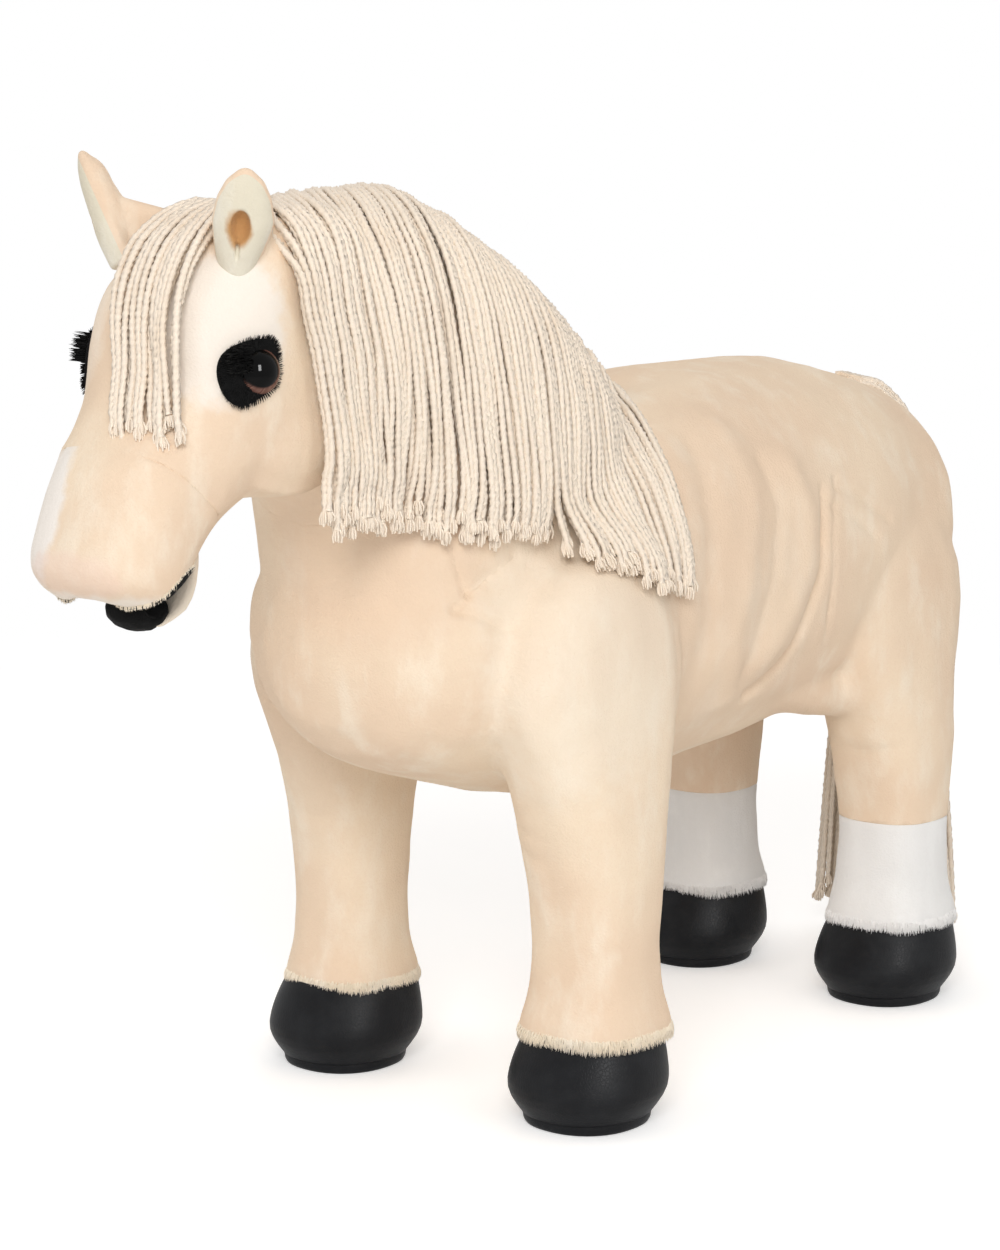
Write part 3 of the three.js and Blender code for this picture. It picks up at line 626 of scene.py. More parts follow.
def laid_line(tree, rays, inset, aside):
    """A cord's middle line inside a CAD form, found by rays of (centre, direction).

    A ray that misses the form is tried again a little aside, nearer to its middle.
    """
    reaches = []
    for centre, out in rays:
        spot = None
        for step in range(6):
            start = centre + aside * step * 4 * MM + out * 0.25
            spot = spot or tree.ray_cast(start, -out)[0]
        reaches.append((spot - centre).dot(out) if spot else None)
    known = [index for index, reach in enumerate(reaches) if reach]
    filled = [
        reaches[min(known, key=lambda other: abs(other - index))] for index in range(len(rays))
    ]
    return [
        centre + out * (reach - depth)
        for (centre, out), reach, depth in zip(rays, smoothed(filled, 8), inset)
    ]


def cord_strand(points, chance):
    """One twisted cord along a line of points, drawn in a little before its end."""
    line = evenly(points, CORD_STEP)
    start = chance.uniform(0, math.tau)
    size = chance.uniform(0.94, 1.08)
    strand = [
        (point, size, start + index * CORD_STEP / CORD_PITCH * math.tau)
        for index, point in enumerate(line)
    ]
    for place, share in ((-3, 0.97), (-2, 0.84), (-1, 1.08)):
        point, size, tilt = strand[place]
        strand[place] = (point, size * share, tilt)
    return strand


def frayed_end(points, chance):
    """The short brush of loose fibres at the cut end of a cord."""
    tip = points[-1]
    ahead = (tip - points[-3]).normalized()
    side = ahead.orthogonal().normalized()
    fibres = []
    for index in range(FRAY_FIBRES):
        out = Matrix.Rotation(index * 2.4 + chance.uniform(-0.3, 0.3), 3, ahead) @ side
        inner = math.sqrt((index + 0.5) / FRAY_FIBRES)
        length = chance.uniform(4.2, 6.6) * MM
        spread = chance.uniform(0.9, 1.7) * MM * inner
        root = tip - ahead * 2.5 * MM + out * CORD_RADIUS * 0.7 * inner
        middle = root + ahead * length * 0.55 + out * spread
        end = root + ahead * length + out * spread * 0.8
        fibres.append([(root, 1.0, 0.0), (middle, 1.0, 0.0), (end, 0.7, 0.0)])
    return fibres


def cord_bundle(name, lines, seed):
    """A piece of many twisted cords with frayed ends."""
    chance = random.Random(seed)
    section = lobed_profile()
    cords = [cord_strand(line, chance) for line in lines]
    fibres = [fibre for line in lines for fibre in frayed_end(line, chance)]
    shape = gathered([
        strands_mesh("cords", cords, section=section),
        strands_mesh("fibres", fibres, depth=FRAY_RADIUS),
    ])
    discard(section)
    return new_object(name, shape)


def make_fur(name, kind, roots, body, finish, slot):
    """Short fur along an edge. Each root is (point, direction, outward)."""
    length, lean, radius, seed = FURS[kind]
    chance = random.Random(seed)
    hairs = []
    for point, direction, outward in roots:
        reach = length * chance.uniform(0.75, 1.05)
        sway = Vector([chance.uniform(-0.14, 0.14) for _ in range(3)])
        way = (direction + outward * lean + sway).normalized()
        root = point - outward * radius * 2
        middle = root + (way + outward * 0.15).normalized() * reach * 0.55
        end = middle + (way - outward * 0.15).normalized() * reach * 0.45
        hairs.append([(root, 1.0, 0.0), (middle, 0.85, 0.0), (end, 0.2, 0.0)])
    fur = new_object(name, strands_mesh(name, hairs, depth=radius))
    finished(fur, body, finish, slot)


# Finishes

EYES = {side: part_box(f"eye_{side}") for side in SIDES}
EYE_CENTRES = {
    side: Vector((
        high.x if SIDES[side] > 0 else low.x, (low.y + high.y) / 2, (low.z + high.z) / 2,
    ))
    for side, (low, high) in EYES.items()
}

head_patches = [
    ((0.040, -0.276, 0.402), (0.030, 0.036, 0.036), rgb(0.90, 0.84, 0.77), 0.85),
    ((-0.046, -0.276, 0.398), (0.024, 0.032, 0.034), rgb(0.90, 0.83, 0.75), 0.3),
]
muzzle_patches = [
    ((-0.022, -0.324, 0.321), (0.014, 0.034, 0.034), WHITE_FUR, 0.8),
    ((0.000, -0.332, 0.290), (0.034, 0.014, 0.014), PINK_FUR, 0.4),
    ((0.000, -0.300, 0.272), (0.070, 0.060, 0.014), rgb(0.90, 0.85, 0.78), 0.7),
]
# Painted light and shade on the body: a darker flank, a darker chest where the head shades it, and a
# lighter shoulder that faces the lamps
painted_body_shading = [
    ((0.090, 0.060, 0.270), (0.060, 0.085, 0.110), rgb(0.79, 0.61, 0.455), 0.45),
    ((0.040, -0.180, 0.290), (0.070, 0.060, 0.050), rgb(0.77, 0.58, 0.43), 0.5),
    ((0.085, -0.080, 0.240), (0.050, 0.060, 0.080), rgb(0.90, 0.80, 0.66), 0.5),
]

FINISHES = {
    "body": plush("plush_body", markings_and_painted_shading=painted_body_shading),
    "head": plush("plush_head", markings_and_painted_shading=head_patches),
    "muzzle": plush("plush_muzzle", markings_and_painted_shading=muzzle_patches),
    "white": plush(
        "plush_white", rgb(0.87, 0.865, 0.855), rgb(0.79, 0.785, 0.775), rgb(0.90, 0.90, 0.89)
    ),
    "cuff_cream": plush(
        "cuff_cream", rgb(0.92, 0.83, 0.69), rgb(0.88, 0.77, 0.61), rgb(0.94, 0.88, 0.78)
    ),
    "cuff_white": plush(
        "cuff_white", rgb(0.92, 0.91, 0.90), rgb(0.86, 0.85, 0.84), rgb(0.94, 0.94, 0.93)
    ),
    "jaw": plush("plush_jaw", rgb(0.89, 0.79, 0.66), rgb(0.82, 0.69, 0.53), rgb(0.91, 0.85, 0.75)),
    "felt": black_felt(),
    "leather": hoof_leather(),
    "cord": cotton("cotton_cord", rgb(0.93, 0.825, 0.70), rgb(0.83, 0.69, 0.54)),
    "tape": cotton("cotton_tape", rgb(0.80, 0.69, 0.55), rgb(0.66, 0.53, 0.40)),
    "plastic": hard_part("joint_plastic", rgb(0.70, 0.70, 0.68), 0.45),
    "steel": hard_part("joint_steel", rgb(0.50, 0.51, 0.53), 0.3, 1.0),
    **{f"eye_{side}": eye_gloss(side, centre) for side, centre in EYE_CENTRES.items()},
}


# Skin of the body and legs

HOOF_BOXES = {leg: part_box(f"hoof_{leg}") for leg in LEGS}
SHANK_SETBACK = 6 * MM
BELOW_BODY = 0.137
CUFF_HAIRS = 2400
FLARE, FLARE_HEIGHT = 2.4 * MM, 9 * MM

# Where each leg's skin is sewn to the body, as (y, z) in millimetres
FRONT_SEAM = [
    (-80, 299), (-111, 284), (-138, 269), (-150, 248), (-150, 229), (-138, 209), (-122, 190),
    (-118, 165), (-116, 120), (-5, 120), (-5, 165), (4, 190), (8, 222), (2, 256), (-22, 283),
    (-50, 297),
]
HIND_SEAM = [
    (216, 298), (180, 292), (150, 276), (130, 252), (124, 222), (130, 192), (146, 168),
    (160, 150), (166, 120), (292, 120), (288, 160), (286, 190), (284, 222), (274, 262),
    (248, 288),
]

# Creases and soft swells of the stuffed skin: points in millimetres, width and depth. A
# depth below zero stands out.
BODY_FOLDS = [
    ([(90, 122, 296), (92, 117, 261), (91, 109, 242), (89, 96, 219), (83, 87, 206), (79, 66, 194)],
     3.4, 3.8),
    ([(84, 98, 308), (90, 104, 282), (92, 101, 261), (91, 88, 237), (90, 68, 212)], 9, -3.2),
    ([(80, 76, 314), (89, 80, 290), (92, 72, 262), (91, 62, 236), (86, 52, 210)], 5, 1.8),
    ([(67, 58, 329), (86, 60, 300), (93, 48, 267), (92, 37, 227), (81, 46, 196)], 9, -2.4),
    ([(74, 30, 326), (90, 24, 296), (95, 14, 256), (92, 10, 215)], 9, 2.4),
    ([(85, 136, 300), (91, 127, 267), (90, 126, 226), (84, 132, 190)], 2.2, 1.6),
    ([(87, 136, 296), (87, 158, 288), (88, 182, 275)], 3, 1.8),
    ([(88, 129, 286), (88, 148, 279), (89, 168, 267)], 3, 1.5),
    ([(65, -146, 263), (73, -134, 257), (77, -121, 251)], 2.2, 2.6),
    ([(60, -150, 300), (63, -144, 286), (66, -139, 270)], 2.2, 2.0),
    ([(72, -111, 285), (66, -134, 272), (65, -146, 262)], 2.4, 1.8),
    ([(104, -22, 250), (103, -20, 215), (98, -22, 180)], 6, 1.2),
    ([(-90, 120, 290), (-92, 112, 250), (-88, 95, 215), (-79, 66, 194)], 4.5, 2.4),
    ([(-84, 96, 306), (-92, 100, 261), (-90, 72, 218)], 10, -1.8),
    ([(58, -92, 136), (74, -92, 134), (92, -86, 136)], 3, 0.8),
    ([(56, -95, 150), (72, -97, 146), (94, -92, 150)], 3, 0.7),
    ([(-58, -92, 136), (-74, -92, 134), (-92, -86, 136)], 3, 0.8),
    ([(52, 196, 146), (70, 190, 143), (88, 200, 147)], 3, 0.8),
    ([(56, 250, 318), (70, 238, 300), (78, 226, 282)], 26, 2.2),
]

# The neck's skin lies between two slanted planes, each through a point of its middle
NECK_START = mm(0, -160, 350)
NECK_END = mm(0, -222, 372)
CHEST_TOP = 0.285
FACE_BACK = -0.215

# The face stays crisp. Behind this Y the skin softens more, over this length
SOFT_START, SOFT_LENGTH, SOFT_ROUNDS = -0.262, 0.05, 22
BROW_BACK, BROW_LOW, BROW_ROUNDS = -0.235, 0.345, 50
NAPE_RADIUS, NAPE_HALF = 63 * MM, 40 * MM

# The groin's slack skin on one side: middles and reaches in millimetres
GROIN = (
    ((54, 122, 191), (18, 16, 16)), ((56, 150, 182), (16, 14, 14)), ((57, 178, 176), (13, 12, 13)),
)


def leg_region(leg):
    """The room of one leg: what lies inside its seam, and all of its shank below the body."""
    seam = FRONT_SEAM if leg.startswith("front") else HIND_SEAM
    side = SIDES[leg.split("_")[1]]
    inner = min(abs(spot.x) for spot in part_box(f"joint_disc_{leg}")) - 7 * MM
    outline = [(y * MM, z * MM) for y, z in seam]
    room = new_object("room", side_prism(outline, *sorted((side * inner, side * 0.16))))
    y = sum(spot.y for spot in HOOF_BOXES[leg]) / 2
    low_x, high_x = sorted((side * 4 * MM, side * 0.16))
    cut(room, block((low_x, y - 0.1, -0.05), (high_x, y + 0.1, BELOW_BODY)), "UNION")
    return taken(room)


def ahead_of(point):
    """All that lies ahead of a plane square to the neck's bend."""
    along = (NECK_END - NECK_START).normalized()
    turn = Vector((0, 0, 1)).rotation_difference(along).to_matrix().to_4x4()
    shape = bmesh.new()
    bmesh.ops.create_cube(
        shape, size=1,
        matrix=Matrix.Translation(point) @ turn @ Matrix.Translation((0, 0, 0.5)),
    )
    return shape


def neck_room():
    """The room of the neck and all that lies ahead of it, above the chest."""
    room = new_object("room", ahead_of(NECK_START))
    cut(room, block((-0.2, -0.5, CHEST_TOP), (0.2, 0.2, 0.6)), "INTERSECT")
    return taken(room)


def stuffing_lumps(shape):
    """Small uneven swells, as hand stuffing leaves under short plush."""
    for vert in shape.verts:
        lump = noise.noise(vert.co * 24) * 0.9 + noise.noise(vert.co * 70) * 0.35
        vert.co += vert.normal * lump * MM


def groin_skin():
    """The slack skin between the belly and each thigh."""
    shapes = []
    for sign in SIDES.values():
        shape = gathered([ball(mm(sign * x, y, z), mm(*reach), 12) for (x, y, z), reach in GROIN])
        bmesh.ops.convex_hull(shape, input=shape.verts)
        shapes.append(shape)
    return shapes


def whole_skin():
    """The whole horse but its ears and hooves under one skin, before it is cut at seams."""
    nodes = ["neck", "head", "muzzle", "palate", "shoulder_rod", "hip_rod"]
    nodes += [f"eye_patch_{side}" for side in SIDES]
    for leg in LEGS:
        nodes.append(f"leg_{leg}")
        if leg.startswith("hind"):
            nodes.append(f"sock_{leg}")
    shapes = [solid_copy(node) for node in nodes] + [hull_copy("torso")]
    shapes += [hull_copy(f"joint_disc_{leg}") for leg in LEGS]
    for shape in shapes:
        swell(shape, SKIN_SWELL)
    nape = drum(NOD, NAPE_RADIUS, NAPE_HALF)
    whole = remeshed("whole_skin", gathered([*shapes, *groin_skin(), nape]), SKIN_VOXEL, 10)
    back = whole.vertex_groups.new(name="back")
    for vert in whole.data.vertices:
        back.add([vert.index], clamped((vert.co.y - SOFT_START) / SOFT_LENGTH), "REPLACE")
    soft = whole.modifiers.new("soft", "SMOOTH")
    soft.iterations = SOFT_ROUNDS
    soft.vertex_group = "back"
    shape = shape_of(with_modifiers(whole))
    shape.normal_update()
    press_folds(shape, HEAD_FOLDS)
    brow = [vert for vert in shape.verts if vert.co.y < BROW_BACK and vert.co.z > BROW_LOW]
    for _ in range(BROW_ROUNDS):
        bmesh.ops.smooth_vert(
            shape, verts=brow, factor=0.5, use_axis_x=True, use_axis_y=True, use_axis_z=True
        )
    shape.normal_update()
    press_folds(shape, BODY_FOLDS)
    stuffing_lumps(shape)
    shape.to_mesh(whole.data)
    shape.free()
    return whole


def seam_groove(piece, tree, test, depth):
    """Draws the skin in along a cut edge. The test says which points lie on the cut."""
    for vert in piece.data.vertices:
        if test(vert.co):
            _, normal, _, distance = tree.find_nearest(vert.co)
            if distance < 0.2 * MM:
                vert.co -= normal * depth


def make_body(whole):
    face_room = block((-0.1, -0.5, 0.2), (0.1, FACE_BACK, 0.6))
    body = part_of(whole, "body_skin", ("DIFFERENCE", neck_room()), ("DIFFERENCE", face_room))
    for leg in LEGS:
        cut(body, leg_region(leg), "DIFFERENCE")
    sewn(body, "trunk", "body", "plush_cream", "torso")
    neck = part_of(
        whole, "neck_skin", ("INTERSECT", neck_room()), ("DIFFERENCE", ahead_of(NECK_END))
    )
    sewn(neck, None, "body", "plush_cream", "neck")
    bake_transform(neck)
    for leg in LEGS:
        make_leg(whole, leg)


def make_mane_tape(whole):
    """The woven tape that the mane is sewn on, laid along the skin of the crest."""
    low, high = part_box("mane_tape")
    room = block((low.x, low.y, low.z - 0.02), (high.x, high.y, high.z + 0.02))
    tape = skin_layer("mane_tape_woven", whole, TAPE_THICKNESS, room)
    finished(tape, "trunk", "tape", "cotton_tape", "mane_tape")


def make_leg(whole, leg):
    middle = sum(HOOF_BOXES[leg], Vector()) / 2
    middle.y += SHANK_SETBACK
    tree = tree_of(whole)
    piece = part_of(whole, f"leg_skin_{leg}", ("INTERSECT", leg_region(leg)))
    if leg.startswith("hind"):
        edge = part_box(f"sock_{leg}")[1].z + 0.2 * MM
        below = (-0.2, 0.1, -0.05), (0.2, 0.36, edge)
        sock = part_of(piece, f"sock_skin_{leg}", ("INTERSECT", block(*below)))
        cut(piece, block(*below), "DIFFERENCE")
        for each in (sock, piece):
            seam_groove(each, tree, lambda spot: abs(spot.z - edge) < 1e-5, SOCK_SEAM_DEPTH)
        sewn(sock, f"leg_{leg}", "white", "plush_white", f"sock_{leg}")
        make_cuff(sock, leg, middle, "white")
    else:
        make_cuff(piece, leg, middle, "cream")
    sewn(piece, None, "body", "plush_cream", f"leg_{leg}")
    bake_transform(piece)


def flared(skin, middle):
    """Widens the lowest part of a leg's skin, where its fur is turned over the hoof."""
    edge = min(vert.co.z for vert in skin.data.vertices)
    for vert in skin.data.vertices:
        rise = (vert.co.z - edge) / FLARE_HEIGHT
        out = Vector((vert.co.x - middle.x, vert.co.y - middle.y, 0))
        if rise < 3 and out.length > 15 * MM:
            vert.co += out.normalized() * FLARE * math.exp(-rise * rise)


def make_cuff(skin, leg, middle, tint):
    """Fur that hangs over the top of a hoof."""
    flared(skin, middle)
    tree = tree_of(skin)
    edge = HOOF_BOXES[leg][1].z
    chance = random.Random(len(leg) + ord(leg[-1]))
    roots = []
    for index in range(CUFF_HAIRS):
        turn = (index + chance.uniform(-0.4, 0.4)) / CUFF_HAIRS * math.tau
        out = Vector((math.cos(turn), math.sin(turn), 0))
        height = edge + chance.uniform(2.0, 5.5) * MM
        start = Vector((middle.x, middle.y, height)) + out * 0.09
        spot = tree.ray_cast(start, -out)[0]
        if spot:
            roots.append((spot, Vector((0, 0, -1)), out))
    make_fur(f"cuff_fur_{leg}", "cuff", roots, f"leg_{leg}", "cuff_" + tint, "plush_" + tint)


# Hooves

# Half the hoof's width at even steps from its sole to its top, as shares of the widest
HOOF_SHARES = (0.81, 0.885, 0.95, 0.99, 1.0, 0.99, 0.97, 0.945, 0.915, 0.88, 0.84)
# The sole's rows: shares of half its width and of its thickness
SOLE_SHARES = ((0, 0), (0.93, 0), (0.965, 0.1), (0.99, 0.4), (1.0, 0.8), (1.0, 1.04), (0, 1.08))


def squared(value):
    """Bends a sine or cosine, so that a ring comes out a little square."""
    return math.copysign(abs(value) ** (2 / 2.2), value)


def turned_form(profile, centre, half, lean=0.0):
    """A closed form of level rings. Each profile row is a share of half's X and Y, and Z."""
    shape = bmesh.new()
    verts = [shape.verts.new((share, 0, height)) for share, height in profile]
    edges = [shape.edges.new(pair) for pair in zip(verts, verts[1:])]
    bmesh.ops.spin(
        shape, geom=[*verts, *edges], cent=(0, 0, 0), axis=(0, 0, 1), dvec=(0, 0, 0),
        angle=math.tau, steps=72, use_merge=True,
    )
    bmesh.ops.remove_doubles(shape, verts=shape.verts, dist=1e-5)
    low, high = profile[0][1], profile[-1][1]
    for vert in shape.verts:
        share = math.hypot(vert.co.x, vert.co.y)
        turn = math.atan2(vert.co.y, vert.co.x)
        rise = (vert.co.z - low) / (high - low)
        vert.co.x = centre.x + squared(math.cos(turn)) * share * half.x
        vert.co.y = centre.y + squared(math.sin(turn)) * share * half.y + lean * rise * rise
    bmesh.ops.recalc_face_normals(shape, faces=shape.faces)
    return shape


def make_hooves():
    for leg in LEGS:
        low, high = HOOF_BOXES[leg]
        sole_low, sole_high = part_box(f"sole_{leg}")
        centre = (sole_low + sole_high) / 2
        steps = len(HOOF_SHARES) * 3
        height = high.z - low.z + 1.5 * MM
        profile = [
            (reading(HOOF_SHARES, i / steps), low.z + height * i / steps) for i in range(steps + 1)
        ]
        profile = [(0, low.z), *profile, (0, low.z + height + 1 * MM)]
        form = turned_form(profile, centre, (high - low) / 2, SHANK_SETBACK)
        hoof = new_object(f"hoof_leather_{leg}", form)
        tidy_shading(hoof, 60)
        finished(hoof, f"leg_{leg}", "leather", "hoof_black", f"hoof_{leg}", fill=0.9)
        thickness = sole_high.z - sole_low.z
        profile = [(share, sole_low.z + rise * thickness) for share, rise in SOLE_SHARES]
        form = turned_form(profile, centre, (sole_high - sole_low) / 2)
        sole = new_object(f"sole_pad_{leg}", form)
        tidy_shading(sole, 40)
        finished(sole, f"leg_{leg}", "leather", "hoof_black", f"sole_{leg}", fill=1.0)


# Head

# The seam between the head and the muzzle, as two (y, z) points on it in millimetres
MUZZLE_SEAM = ((-312.3, 350.0), (-260.1, 305.9))

# The head's creases and swells, in the form of the body's
HEAD_FOLDS = [
    ([(49, -252, 350), (47, -266, 345), (42, -280, 347)], 5, 0.9),
    ([(46, -250, 322), (40, -262, 312), (34, -268, 306)], 3, 1.0),
    ([(41, -290, 322), (43, -283, 313)], 3, 0.7),
    ([(42, -274, 424), (43, -282, 405), (41, -288, 386)], 19, 4.2),
    ([(-42, -274, 424), (-43, -282, 405), (-41, -288, 386)], 19, 5.4),
    ([(-26, -303, 346), (-10, -312, 340), (10, -312, 340), (26, -303, 346)], 16, -3.5),
    ([(0, -100, 430), (0, -60, 412), (0, -15, 385), (0, 20, 368)], 30, 11.0),
    ([(-36, -160, 245), (-44, -153, 222), (-48, -146, 196)], 26, 5.0),
    ([(-36, -262, 442), (-41, -268, 428)], 12, 9.0),
]

# The eye patch's outline, as steps back and up from the eye's middle in millimetres, and how
# much of each step counts
PATCH_SCALE = 0.94, 0.97
PATCH_OUTLINE = [
    (-15.4, 11.4), (-9, 14), (-2.5, 15), (5.8, 15), (9.2, 11.4), (10.6, 5), (10, -2.5), (6.2, -7.8),
    (-3, -12), (-11.4, -15.6), (-16.6, -13), (-19.4, -8), (-20.8, 0), (-19.4, 7),
]
EYE_HAIRS, LASH_HAIRS = 1500, 240
EYE_DEPTH = 9 * MM

MOUTH_CENTRE = mm(0, -290, 265)
MOUTH_REACH = mm(48, 28, 43)
LIP_HAIRS = 9
FELT_GAP, FELT_DEPTH = 0.2 * MM, 2.2 * MM

# The jaw's pieces: node, name, voxel and pile in millimetres, finish and slot
JAW_PIECES = (
    ("jaw", "jaw_skin", 1.0, -0.3, "jaw", "plush_cream"),
    ("jaw_lining", "jaw_felt", 0.8, 1.4, "felt", "felt_black"),
)


def muzzle_region():
    """Everything in front of the muzzle's seam, with the seam's top and direction."""
    top, low = [Vector(point) * MM for point in MUZZLE_SEAM]
    along = (top - low).normalized()
    ahead = Vector((-along.y, along.x))
    corners = [top + along * 0.12, low - along * 0.05]
    corners += [corners[1] + ahead * 0.24, corners[0] + ahead * 0.24]
    return side_prism([tuple(corner) for corner in corners], -0.1, 0.1), top, along


def make_head(whole):
    region, top, along = muzzle_region()
    tree = tree_of(whole)
    head = part_of(whole, "head_skin", ("INTERSECT", ahead_of(NECK_END)), ("DIFFERENCE", region))
    muzzle = part_of(
        whole, "muzzle_skin", ("INTERSECT", muzzle_region()[0]), ("DIFFERENCE", mouth_form(0))
    )

    def on_seam(spot):
        flat = Vector((spot.y, spot.z)) - top
        return abs(flat.x * along.y - flat.y * along.x) < 1e-5 and abs(spot.x) > 24 * MM

    for piece, node in ((head, "head"), (muzzle, "muzzle")):
        seam_groove(piece, tree, on_seam, MUZZLE_SEAM_DEPTH)
        sewn(piece, "head", node, "plush_cream", node)
    make_mouth(whole, muzzle)
    for side in SIDES:
        make_eye(whole, side)


def mouth_form(inset):
    """The hollow of the mouth, wide enough to open at the corners of the lips."""
    return ball(MOUTH_CENTRE, MOUTH_REACH - Vector((inset,) * 3), 32)


def make_mouth(whole, muzzle):
    """The felt inside the mouth, the lip's fur, and the jaw with its lining."""
    inside = shape_of(whole)
    swell(inside, 0.9 * MM)
    palate = new_object("palate_felt", mouth_form(FELT_GAP))
    cut(palate, mouth_form(FELT_DEPTH), "DIFFERENCE")
    cut(palate, inside, "INTERSECT")
    tidy_shading(palate)
    finished(palate, "head", "felt", "felt_black", "palate")

    tree = tree_of(whole)
    chance = random.Random(51)
    roots = []
    for vert in muzzle.data.vertices:
        step = vert.co - MOUTH_CENTRE
        share = Vector(part / reach for part, reach in zip(step, MOUTH_REACH)).length
        _, normal, _, distance = tree.find_nearest(vert.co)
        if abs(share - 1) < 0.01 and distance < 0.05 * MM:
            inward = Vector((-step.x, -step.y, 0)).normalized()
            for _ in range(LIP_HAIRS):
                nudge = mm(*(chance.uniform(-0.7, 0.7) for _ in range(3)))
                roots.append((vert.co + nudge, Vector((0, 0, -1)) + inward * 0.3, normal))
    make_fur("lip_fur", "lip", roots, "head", "cuff_cream", "plush_cream")

    for node, name, voxel, pile, finish, slot in JAW_PIECES:
        shape = solid_copy(node)
        swell(shape, pile * MM)
        sewn(remeshed(name, shape, voxel * MM, 8), "jaw", finish, slot, node)


def make_eye(whole, side):
    """A felt patch with short fur, and the glossy dome on it."""
    sign, centre = SIDES[side], EYE_CENTRES[side]
    outline = smooth_loop([
        (centre.y + PATCH_SCALE[0] * back * MM, centre.z + PATCH_SCALE[1] * up * MM)
        for back, up in PATCH_OUTLINE
    ])
    span = sorted((sign * 0.02, sign * 0.08))
    near = block(
        (span[0], centre.y - 0.03, centre.z - 0.03), (span[1], centre.y + 0.03, centre.z + 0.03)
    )
    patch = skin_layer(
        f"eye_felt_{side}", whole, PATCH_THICKNESS, near, side_prism(outline, *span)
    )
    finished(patch, "head", "felt", "felt_black", f"eye_patch_{side}")
    tree = tree_of(patch)
    chance = random.Random(61)

    def on_patch(flat):
        return tree.ray_cast(Vector((sign * 0.09, *flat)), Vector((-sign, 0, 0)))[:2]

    middle = Vector((centre.y - 3.5 * MM, centre.z))
    roots = []
    for _ in range(EYE_HAIRS):
        flat = Vector(outline[chance.randrange(len(outline))])
        share = 1 - chance.random() ** 2 * 0.8
        flat = middle.lerp(flat, share * 0.985)
        spot, normal = on_patch(flat)
        if spot:
            away = Vector((0, flat.x - middle.x, flat.y - middle.y)).normalized()
            roots.append((spot, away, normal))
    make_fur(f"eye_fur_{side}", "eye", roots, "head", "felt", "felt_black")

    roots = []
    for _ in range(LASH_HAIRS):
        back, up = chance.uniform(8, 17) * MM, chance.uniform(0, 13) * MM
        spot, normal = on_patch(Vector((centre.y - back, centre.z + up)))
        if spot:
            roots.append((spot, Vector((sign * 0.8, -0.35, 0.1)), normal))
    make_fur(f"eye_lash_{side}", "lash", roots, "head", "felt", "felt_black")

    low, high = EYES[side]
    seat = Vector((sign * (abs(centre.x) - EYE_DEPTH), centre.y, centre.z))
    reach = Vector((EYE_DEPTH, (high.y - low.y) / 2, (high.z - low.z) / 2))
    eye = new_object(f"eye_dome_{side}", ball(seat, reach, 32))
    finished(eye, "head", f"eye_{side}", "eye_gloss", f"eye_{side}")


def smooth_loop(points, rounds=3):
    """Cuts the corners off a closed outline."""
    for _ in range(rounds):
        out = []
        for first, second in zip(points, [*points[1:], points[0]]):
            first, second = Vector(first), Vector(second)
            out += [tuple(first.lerp(second, 0.25)), tuple(first.lerp(second, 0.75))]
        points = out
    return points


# Ears

# How far the ears lean outwards and tip forwards, and which way they open
EAR_LEAN, EAR_TIP, EAR_FACING = math.radians(19), math.radians(15), math.radians(44)
EAR_ROOT = 7.42 * MM
EAR_SPLIT = -2.4 * MM
EAR_FILL = 0.6

# How tall each ear is against the CAD's, and how far its root is tucked in, in millimetres
EAR_SHAPES = {"left": (1.0, 4), "right": (1.12, 20)}
LINING_TINTS = rgb(0.79, 0.75, 0.64), rgb(0.70, 0.64, 0.50), rgb(0.84, 0.81, 0.73)


def ear_frame(side):
    """The ear's own frame: X across it, -Y the way that it opens, Z up along it."""
    sign = SIDES[side]
    up = Vector((sign * math.tan(EAR_LEAN), -math.tan(EAR_TIP), 1)).normalized()
    opening = Vector((sign * math.sin(EAR_FACING), -math.cos(EAR_FACING), 0))
    opening = (opening - up * opening.dot(up)).normalized()
    width = (-opening).cross(up)
    root = Vector(JOINTS[f"ear_{side}_bend"]["pos_m"]) - up * EAR_ROOT
    turn = Matrix((width, -opening, up)).transposed().to_4x4()
    return Matrix.Translation(root) @ turn


